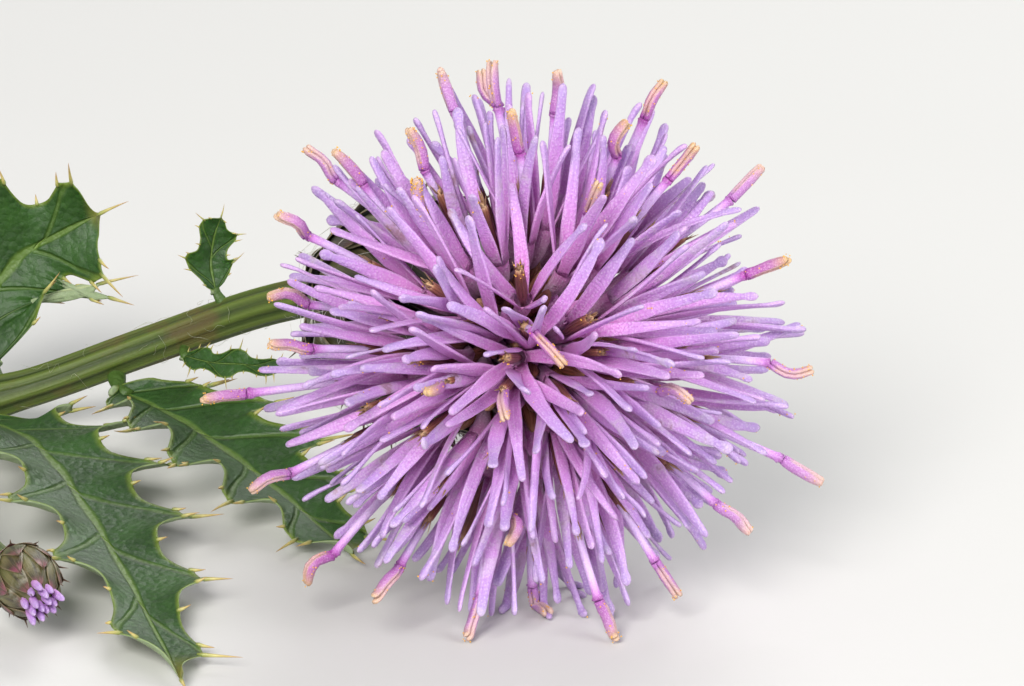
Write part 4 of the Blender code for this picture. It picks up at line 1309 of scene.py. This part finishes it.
leaf = {
    "rows": 150,
    "columns": 33,
    "smallRows": 60,           # on a leaf narrower than smallWidth
    "smallWidth": 4,
    "smallScale": 0.45,
    "lowest": 0.36,            # of its upper face
    "fold": (0.22, 0.1),       # how far its halves fold up, at the midrib and more at the margin
    "forward": (0.28, 0.22),   # how far its margin leans forward, and more on a lobe
    "wave": 0.045,
    "shift": 0.13,             # how far the lobes of its sides are out of step
    "thickness": 0.16,
    "midribHalfWidth": 0.34,
    "midribDepth": 0.42,
    "spine": (0.7, 1.7),
    "spineRadius": 0.1,
    "spineSpots": (            # along a lobe, and the share of a whole spine's length
        (0.5, 1.0), (0.32, 0.45), (0.68, 0.5), (0.02, 0.35)),
    "stalkRadius": 0.32,
    "smallStalkRadius": 0.2,
    "seed": 47,
}
leaves = {                     # solid, width, the way its face looks, lobes a side, midrib
    "leafStanding": ("leaf_standing", 10.0, (0.1, -1, 0.25), 4, (
        (-24.6, 21.9, 2.9), (-25.0, 23.4, 5.0), (-23.4, 24.3, 7.4), (-19.6, 24.0, 9.6))),
    "leafForward": ("leaf_forward", 9.0, (0.1, 0.1, 1), 6, (
        (-25.0, 18.6, 1.5), (-21.8, 13.0, 2.0), (-18.2, 3.0, 1.2), (-14.2, -11.5, 0.4))),
    "leafUnderHead": ("leaf_under_head", 8.0, (-0.1, 0.1, 1), 5, (
        (-18.6, 19.0, 2.7), (-15.4, 15.2, 2.4), (-11.4, 9.8, 1.4), (-7.6, 3.4, 0.4))),
    "leafSmallUpper": ("leaf_small_upper", 2.6, (0.2, -1, 0.2), 2, (
        (-14.2, 19.9, 7.1), (-14.4, 20.2, 8.2), (-14.3, 20.3, 9.4), (-13.9, 20.2, 10.6))),
    "leafSmallLower": ("leaf_small_lower", 1.5, (0.1, -1, 0.5), 3, (
        (-15.7, 18.9, 4.4), (-14.4, 17.9, 4.4), (-12.6, 16.9, 4.6), (-10.6, 15.9, 4.7))),
}


def leafFinish():
    f = Finish("leafFinish")
    along, rim, phase, top = f.marks("along", "rim", "tint", "inner")
    wave = f.noise(420.0, 4.0, rough=0.6)
    fine = f.noise(3600.0, 4.0, rough=0.65)
    cells = f.cells(2600.0)
    branch = (phase + (1 - rim) * 0.45 + wave * 0.1).fraction()
    vein = 1 - (branch - 0.5).size().rise(0.015, 0.075)
    rib = 1 - rim.rise(0.03, 0.09)
    body = f.mix(wave.rise(0.3, 0.7), paint(25, 54, 15), paint(42, 80, 24))
    mottled = f.mix((fine - 0.35).kept() * 0.9, body, paint(62, 98, 36))
    celled = f.mix((0.45 - cells).kept() * 0.35, mottled, paint(28, 60, 18))
    veined = f.mix((vein * 0.35 + rib * 0.65).kept(), celled, paint(100, 126, 50))
    edged = f.mix(rim.rise(0.86, 1.0) * 0.7, veined, paint(112, 130, 40))
    tipped = f.mix(along.rise(0.93, 1.0) * 0.5, edged, paint(172, 160, 80))
    under = f.mix((vein * 0.5 + rib * 0.7).kept(), f.mix(fine, paint(122, 142, 100), paint(156, 170, 134)),
                  paint(182, 190, 140))
    colour = f.mix(top, under, tipped)
    height = fine * 0.8 - vein * 1.2 - rib - cells * 0.8
    return f.finished(Base_Color=colour, Roughness=0.66 - top * 0.2 + fine * 0.1, Subsurface_Weight=0.08,
                      Subsurface_Radius=(0.6, 1.0, 0.3), Subsurface_Scale=0.0004,
                      Normal=f.bump(height, 0.00009, 0.8))


def thornFinish():
    f = Finish("thornFinish")
    grain = f.noise(1.0, 3.0, f.surface(12.0, 4.0))
    body = f.ramp(f.mark("along"), [(0.0, paint(120, 136, 60)), (0.35, paint(182, 172, 100)),
                                    (1.0, paint(168, 122, 72))])
    return f.finished(Base_Color=f.mix((grain - 0.4).kept() * 0.6, body, paint(236, 226, 176)),
                      Roughness=0.38, Subsurface_Weight=0.1, Subsurface_Scale=0.0003,
                      Normal=f.bump(grain, 0.00002, 0.6))


def leafShape(width, facing, lobes, knots, wavePhase):
    # the point at s along the midrib and v across is the midrib, and out to the side v times the
    # margin, leaning forward, folded up, and waved up and down as it nears the margin
    at = np.linspace(0, 1, 120)
    line = throughKnots(np.array(knots) + layout, len(at))
    along = tangentsOf(line)
    across = unit(np.cross(along, np.array(facing, float)))
    frames = (line, along, across, np.cross(across, along))

    def phase(s, v):
        return s * lobes + leaf["shift"] * np.sign(v)

    def saw(turns):
        # 0 at whole turns and 1 halfway between them
        return 1 - np.abs(2 * (turns % 1) - 1)

    def place(s, v):
        middle, forward, side, up = (np.stack([np.interp(s, at, part[:, k]) for k in range(3)], axis=-1)
                                     for part in frames)
        lobe = saw(phase(s, v)) ** 1.15
        small = saw(phase(s, v) * 3 + 0.5) ** 1.5
        body = np.sin(np.pi * np.clip(0.05 + 0.93 * s, 0, 1)) ** 0.62 * (1 - 0.35 * s)
        ends = softStep(s, 0.0, 0.05) * (1 - softStep(s, 0.93, 1.0))
        margin = width * 0.62 * body * (0.40 + 0.52 * lobe + 0.1 * small) * (0.06 + 0.94 * ends)
        out = v * margin
        wave = v**2 * np.sin(2 * np.pi * phase(s, v) + wavePhase) * width * leaf["wave"]
        rise = np.abs(out) * (leaf["fold"][0] + leaf["fold"][1] * np.abs(v)) + wave
        lead = np.abs(out) * (leaf["forward"][0] + leaf["forward"][1] * lobe)
        point = middle + side * out[..., None] + up * rise[..., None] + forward * lead[..., None]
        point[..., 2] = np.maximum(point[..., 2], leaf["lowest"])
        return point

    return place, phase


def leafSpines(chance, place, lobes, scale):
    # spines at the lobes' points, smaller ones on their shoulders, and one at the leaf's tip,
    # each along the line from a little way inside the margin
    spots = [((k + turn - leaf["shift"] * side) / lobes, side, share)
             for side in (-1, 1) for k in range(lobes + 1) for turn, share in leaf["spineSpots"]]
    spots = [spot for spot in spots if 0.04 < spot[0] < 0.95]
    spots = np.array(spots + [(0.999, 0.001, 1.0)])
    tips = place(spots[:, 0], spots[:, 1])
    aims = unit(tips - place(spots[:, 0], spots[:, 1] * 0.86))
    aims[-1] = unit(tips[-1] - place(np.array([0.96]), np.array([0.001]))[0])
    lengths = spots[:, 2] * chance.uniform(*leaf["spine"], len(spots)) * scale
    aims[:, 2] = np.maximum(aims[:, 2], (0.15 - tips[:, 2]) / lengths)
    bend = chance.normal(0, 0.08, (len(spots), 3)) * lengths[:, None]
    thorns = spines(tips, unit(aims), lengths, leaf["spineRadius"] * scale, bend)
    thorns[..., 2] = np.maximum(thorns[..., 2], 0.02)
    return thorns


def leafStalk(place, facing, radius):
    # a short rod joins the leaf's foot to the stem, a little to the leaf's side of its middle
    shaft = throughKnots(np.array(stem["knots"]) + layout, stem["rows"])
    foot = place(np.array([0.0, 0.05]), np.array([0.001, 0.001]))
    near = shaft[np.linalg.norm(shaft - foot[0], axis=1).argmin()]
    near = near + [0, 0, 0.5 * np.sign(foot[0, 2] - near[2])]
    t = np.linspace(0, 1, 7)[:, None]
    line = bezier(near, near + (foot[0] - near) * 0.5, foot[0] + (foot[0] - foot[1]) * 0.4, foot[1], t)
    size = radius * (1.4 - 0.4 * softStep(t, 0.2, 0.75))
    line[:, 2:] = np.maximum(line[:, 2:], size * 0.8 + 0.02)
    return wrapped(line[None], np.array(facing, float), size, size * 0.75, 12)


def buildLeaf(name, chance, finishes):
    # the face's grid, closed by a back that stands off it by the thickness and the midrib
    node, width, facing, lobes, knots = leaves[name]
    small = width < leaf["smallWidth"]
    scale = leaf["smallScale"] if small else 1.0
    place, phase = leafShape(width, facing, lobes, knots, chance.uniform(0, 6))
    s, v = np.meshgrid(np.linspace(0.0, 1, leaf["smallRows"] if small else leaf["rows"]),
                       np.linspace(-1, 1, leaf["columns"]), indexing="ij")
    v = np.sign(v) * np.abs(v) ** 0.85
    face = place(s, v)
    # the side that the normal leaves is the face's own; turned round, it would be the back
    normal = np.cross(np.gradient(face, axis=1), np.gradient(face, axis=0)).sum(axis=(0, 1))
    if normal @ np.array(facing, float) < 0:
        face, s, v = face[:, ::-1], s[:, ::-1], v[:, ::-1]
    middle = leaf["columns"] // 2
    halfRib = leaf["midribHalfWidth"] * scale * (1 - 0.75 * s)
    reach = np.linalg.norm(face - face[:, middle:middle + 1], axis=-1)
    rib = np.exp(-(reach / halfRib) ** 2) * leaf["midribDepth"] * scale * (1 - 0.8 * s)
    thick = leaf["thickness"] * scale * (1 - 0.6 * np.abs(v) ** 3) + rib
    thick = np.minimum(thick, np.maximum(face[..., 2] - 0.02, 0.05)) * (1 - 0.8 * softStep(s, 0.88, 1.0))

    def bothSides(front, back):
        return np.concatenate([front, back[:, ::-1]], axis=1)[None]

    rim, turns = np.abs(v), phase(s, v)
    piece = Piece(name)
    piece.addGrids(closedSheets(face[None], thick[None]), 0, along=bothSides(s, s), rim=bothSides(rim, rim),
                   tint=bothSides(turns, turns), inner=bothSides(np.ones_like(v), np.zeros_like(v)))
    piece.addGrids(leafSpines(chance, place, lobes, scale), 1, along=profile(0, 0.1, 0.35, 0.65, 0.9, 1))
    stalk = leafStalk(place, facing, leaf["smallStalkRadius"] if small else leaf["stalkRadius"])
    piece.addGrids(stalk, 0, along=0.0, rim=0.06, tint=0.2, inner=1.0)
    piece.build(finishes, "leaf", node)


def buildLeaves():
    chance = np.random.default_rng(leaf["seed"])
    finishes = [leafFinish(), thornFinish()]
    for name in leaves:
        buildLeaf(name, chance, finishes)


buildLeaves()
print("leaves: built")


# The side bud on its stalk.

bud = {
    "knots": ((-27.0, 18.8, 1.6), (-26.8, 12.0, 2.4), (-24.2, 3.0, 2.3), (-21.6, -3.0, 2.2)),
    "tip": (-20.4, -6.6, 2.2),
    "stalkRadius": 0.38,
    "outline": ((-0.5, 0.42), (0.1, 1.0), (1.1, 1.5), (2.3, 1.52), (3.4, 1.15), (4.3, 0.66)),
    "series": (                # as for the head's bracts
        (5, 0.0, 0.30, 0.62, 0.0),
        (6, 0.08, 0.46, 0.70, 0.03),
        (7, 0.20, 0.62, 0.72, 0.06),
        (7, 0.34, 0.78, 0.66, 0.09),
        (7, 0.50, 1.00, 0.52, 0.12),
    ),
    "thickness": 0.09,
    "tuck": 0.2,
    "spine": (0.25, 0.55),
    "spineRadius": 0.045,
    "closedFlorets": 15,
    "closedRadius": 0.17,
    "closedLength": (1.5, 2.2),
    "seed": 61,
}


def buildBud():
    # a ribbed stalk, a round body under the scales, and closed florets pressed together at its tip
    chance = np.random.default_rng(bud["seed"])
    knots = np.array(bud["knots"]) + layout
    axis = unit(np.array(bud["tip"]) + layout - knots[-1])
    side = unit(np.cross(axis, [0.0, 0.0, 1.0]))
    turn = np.column_stack([side, np.cross(axis, side), axis])

    def fromBud(points):
        # a point in the bud's frame, turned and moved to its place
        return points @ turn.T + knots[-1]

    piece = Piece("sideBud")
    line = throughKnots(knots, 40)
    stalk, rib = ribbedRod(line, tangentsOf(line), np.full(len(line), bud["stalkRadius"]), 6, 0.06, 18)
    piece.addGrids(stalk, 1, along=np.linspace(0, 1, len(line))[None, :, None], rim=rib)
    body = outlinePoint(bud["outline"], np.linspace(0, 1, 14), np.full(14, 0.2))[None]
    middle = knots[-1] + axis * body[..., 1:]
    core = wrapped(middle, side, body[..., :1], body[..., :1], 18, np.broadcast_to(axis, middle.shape))
    piece.addGrids(core, 0, along=0.6, rim=0.3, tint=0.3)
    grids, share, rim, tips, aims, _, _ = scaleSheets(chance, bud, 0.5)
    outward = unit(tips * [1, 1, 0])
    thorns = spines(tips, unit(aims + outward * 0.35), chance.uniform(*bud["spine"], len(tips)),
                    bud["spineRadius"], outward * 0.04)
    tint = chance.uniform(0, 1, len(tips))[:, None, None]
    piece.addGrids(fromBud(grids), 0, along=share, rim=rim, tint=tint)
    piece.addGrids(fromBud(thorns), 0, along=1.0, rim=0.5, tint=0.2)
    count = bud["closedFlorets"]
    place = np.arange(count) + 0.5
    away = np.sqrt(place / count) * 0.62
    angle = place * goldenAngle
    foot = np.column_stack([away * np.cos(angle), away * np.sin(angle), np.full(count, 3.3)])
    lean = np.column_stack([foot[:, :2] * 0.25, np.full(count, 1.0)])
    t = profile(0, 0.3, 0.6, 0.8, 0.93, 1)
    length = (chance.uniform(*bud["closedLength"], count) * (1 - away * 0.35))[:, None, None]
    size = bud["closedRadius"] * profile(0.8, 1, 1, 0.85, 0.55, 0.15)
    closed = wrapped(foot[:, None] + lean[:, None] * t * length, [1.0, 0.0, 0.0], size, size, 8)
    piece.addGrids(fromBud(closed), 2, along=0.1 + 0.9 * t, rim=0.2, tint=0.35)
    piece.build([bractFinish("budScaleFinish", (96, 92, 52), (128, 60, 84)), stemFinish("budStalkFinish"),
                 corollaFinish()], "bud", "side_bud")


buildBud()
print("bud: built")


# Floor, lights and camera.

studio = {
    "floorSize": 1.6,          # in metres
    "floorDepth": 0.00002,     # and this far below the level that the flower lies on
    "eyeDistance": 250,        # from the camera to the focus
    "fieldWidth": 43.0,        # across the view at the focus
    "viewRise": 18,
    "aimLeft": 0.76,           # the view's middle is this far left of the focus
    "aimUp": 0.50,             # and this far above it
    "lights": (                # place from the focus and size, in metres, power and colour
        ("keyLight", (-0.13, -0.40, 0.30), 0.26, 3.25, (1.0, 0.985, 0.96)),
        ("fillLight", (0.34, -0.22, 0.16), 0.30, 1.2, (0.96, 0.98, 1.0)),
        ("backLight", (0.10, 0.34, 0.26), 0.26, 1.0, (1.0, 1.0, 1.0)),
    ),
    "skyColour": (0.86, 0.88, 0.92, 1),
    "skyStrength": 0.35,
    "sensor": 36,              # the width of the camera's sensor
}


def floorFinish():
    f = Finish("floorFinish")
    cloud = f.noise(18.0, 3.0)
    colour = f.mix((cloud * 0.5).kept(), paint(209, 208, 205), paint(201, 200, 196))
    return f.finished(Base_Color=colour, Roughness=0.75, Normal=f.bump(f.noise(2500.0), 0.00002, 0.3))


def addLight(name, offset, size, power, colour):
    # a round lamp that faces the focus
    lamp = bpy.data.lights.new(name, "AREA")
    lamp.shape = "DISK"
    lamp.size = size
    lamp.energy = power
    lamp.color = colour
    obj = bpy.data.objects.new(name, lamp)
    back = unit(np.array(offset))
    right = unit(np.cross([0.0, 0.0, 1.0], back))
    turn = np.eye(4)
    turn[:3] = np.column_stack([right, np.cross(back, right), back, focus * mm + offset])
    obj.matrix_world = Matrix(turn.tolist())
    bpy.context.scene.collection.objects.link(obj)


def setStudio():
    # the camera looks along Y, tipped down by the rise, at a point a little beside the focus
    scene = bpy.context.scene
    half, low = studio["floorSize"] / 2, -studio["floorDepth"]
    mesh = bpy.data.meshes.new("floor")
    mesh.from_pydata([(-half, -half, low), (half, -half, low), (half, half, low), (-half, half, low)], [],
                     [(0, 1, 2, 3)])
    mesh.materials.append(floorFinish())
    floor = bpy.data.objects.new("floor", mesh)
    scene.collection.objects.link(floor)
    for light in studio["lights"]:
        addLight(*light)
    world = bpy.data.worlds.new("studioWorld")
    world.use_nodes = True
    sky = world.node_tree.nodes["Background"]
    sky.inputs["Color"].default_value = studio["skyColour"]
    sky.inputs["Strength"].default_value = studio["skyStrength"]
    scene.world = world
    scene.view_settings.view_transform = "Standard"
    camera = bpy.data.cameras.new("camera")
    camera.sensor_width = studio["sensor"]
    camera.lens = studio["sensor"] * studio["eyeDistance"] / studio["fieldWidth"]
    camera.clip_start = 0.01
    camera.clip_end = 10
    rise = math.radians(studio["viewRise"])
    back = np.array([0, -math.cos(rise), math.sin(rise)])
    up = np.array([0, math.sin(rise), math.cos(rise)])
    aim = focus + np.array([-studio["aimLeft"], 0, 0]) + up * studio["aimUp"]
    eye = bpy.data.objects.new("camera", camera)
    eye.location = (aim + back * studio["eyeDistance"]) * mm
    eye.rotation_euler = (math.pi / 2 - rise, 0, 0)
    scene.collection.objects.link(eye)
    scene.camera = eye


setStudio()
print("studio: set")
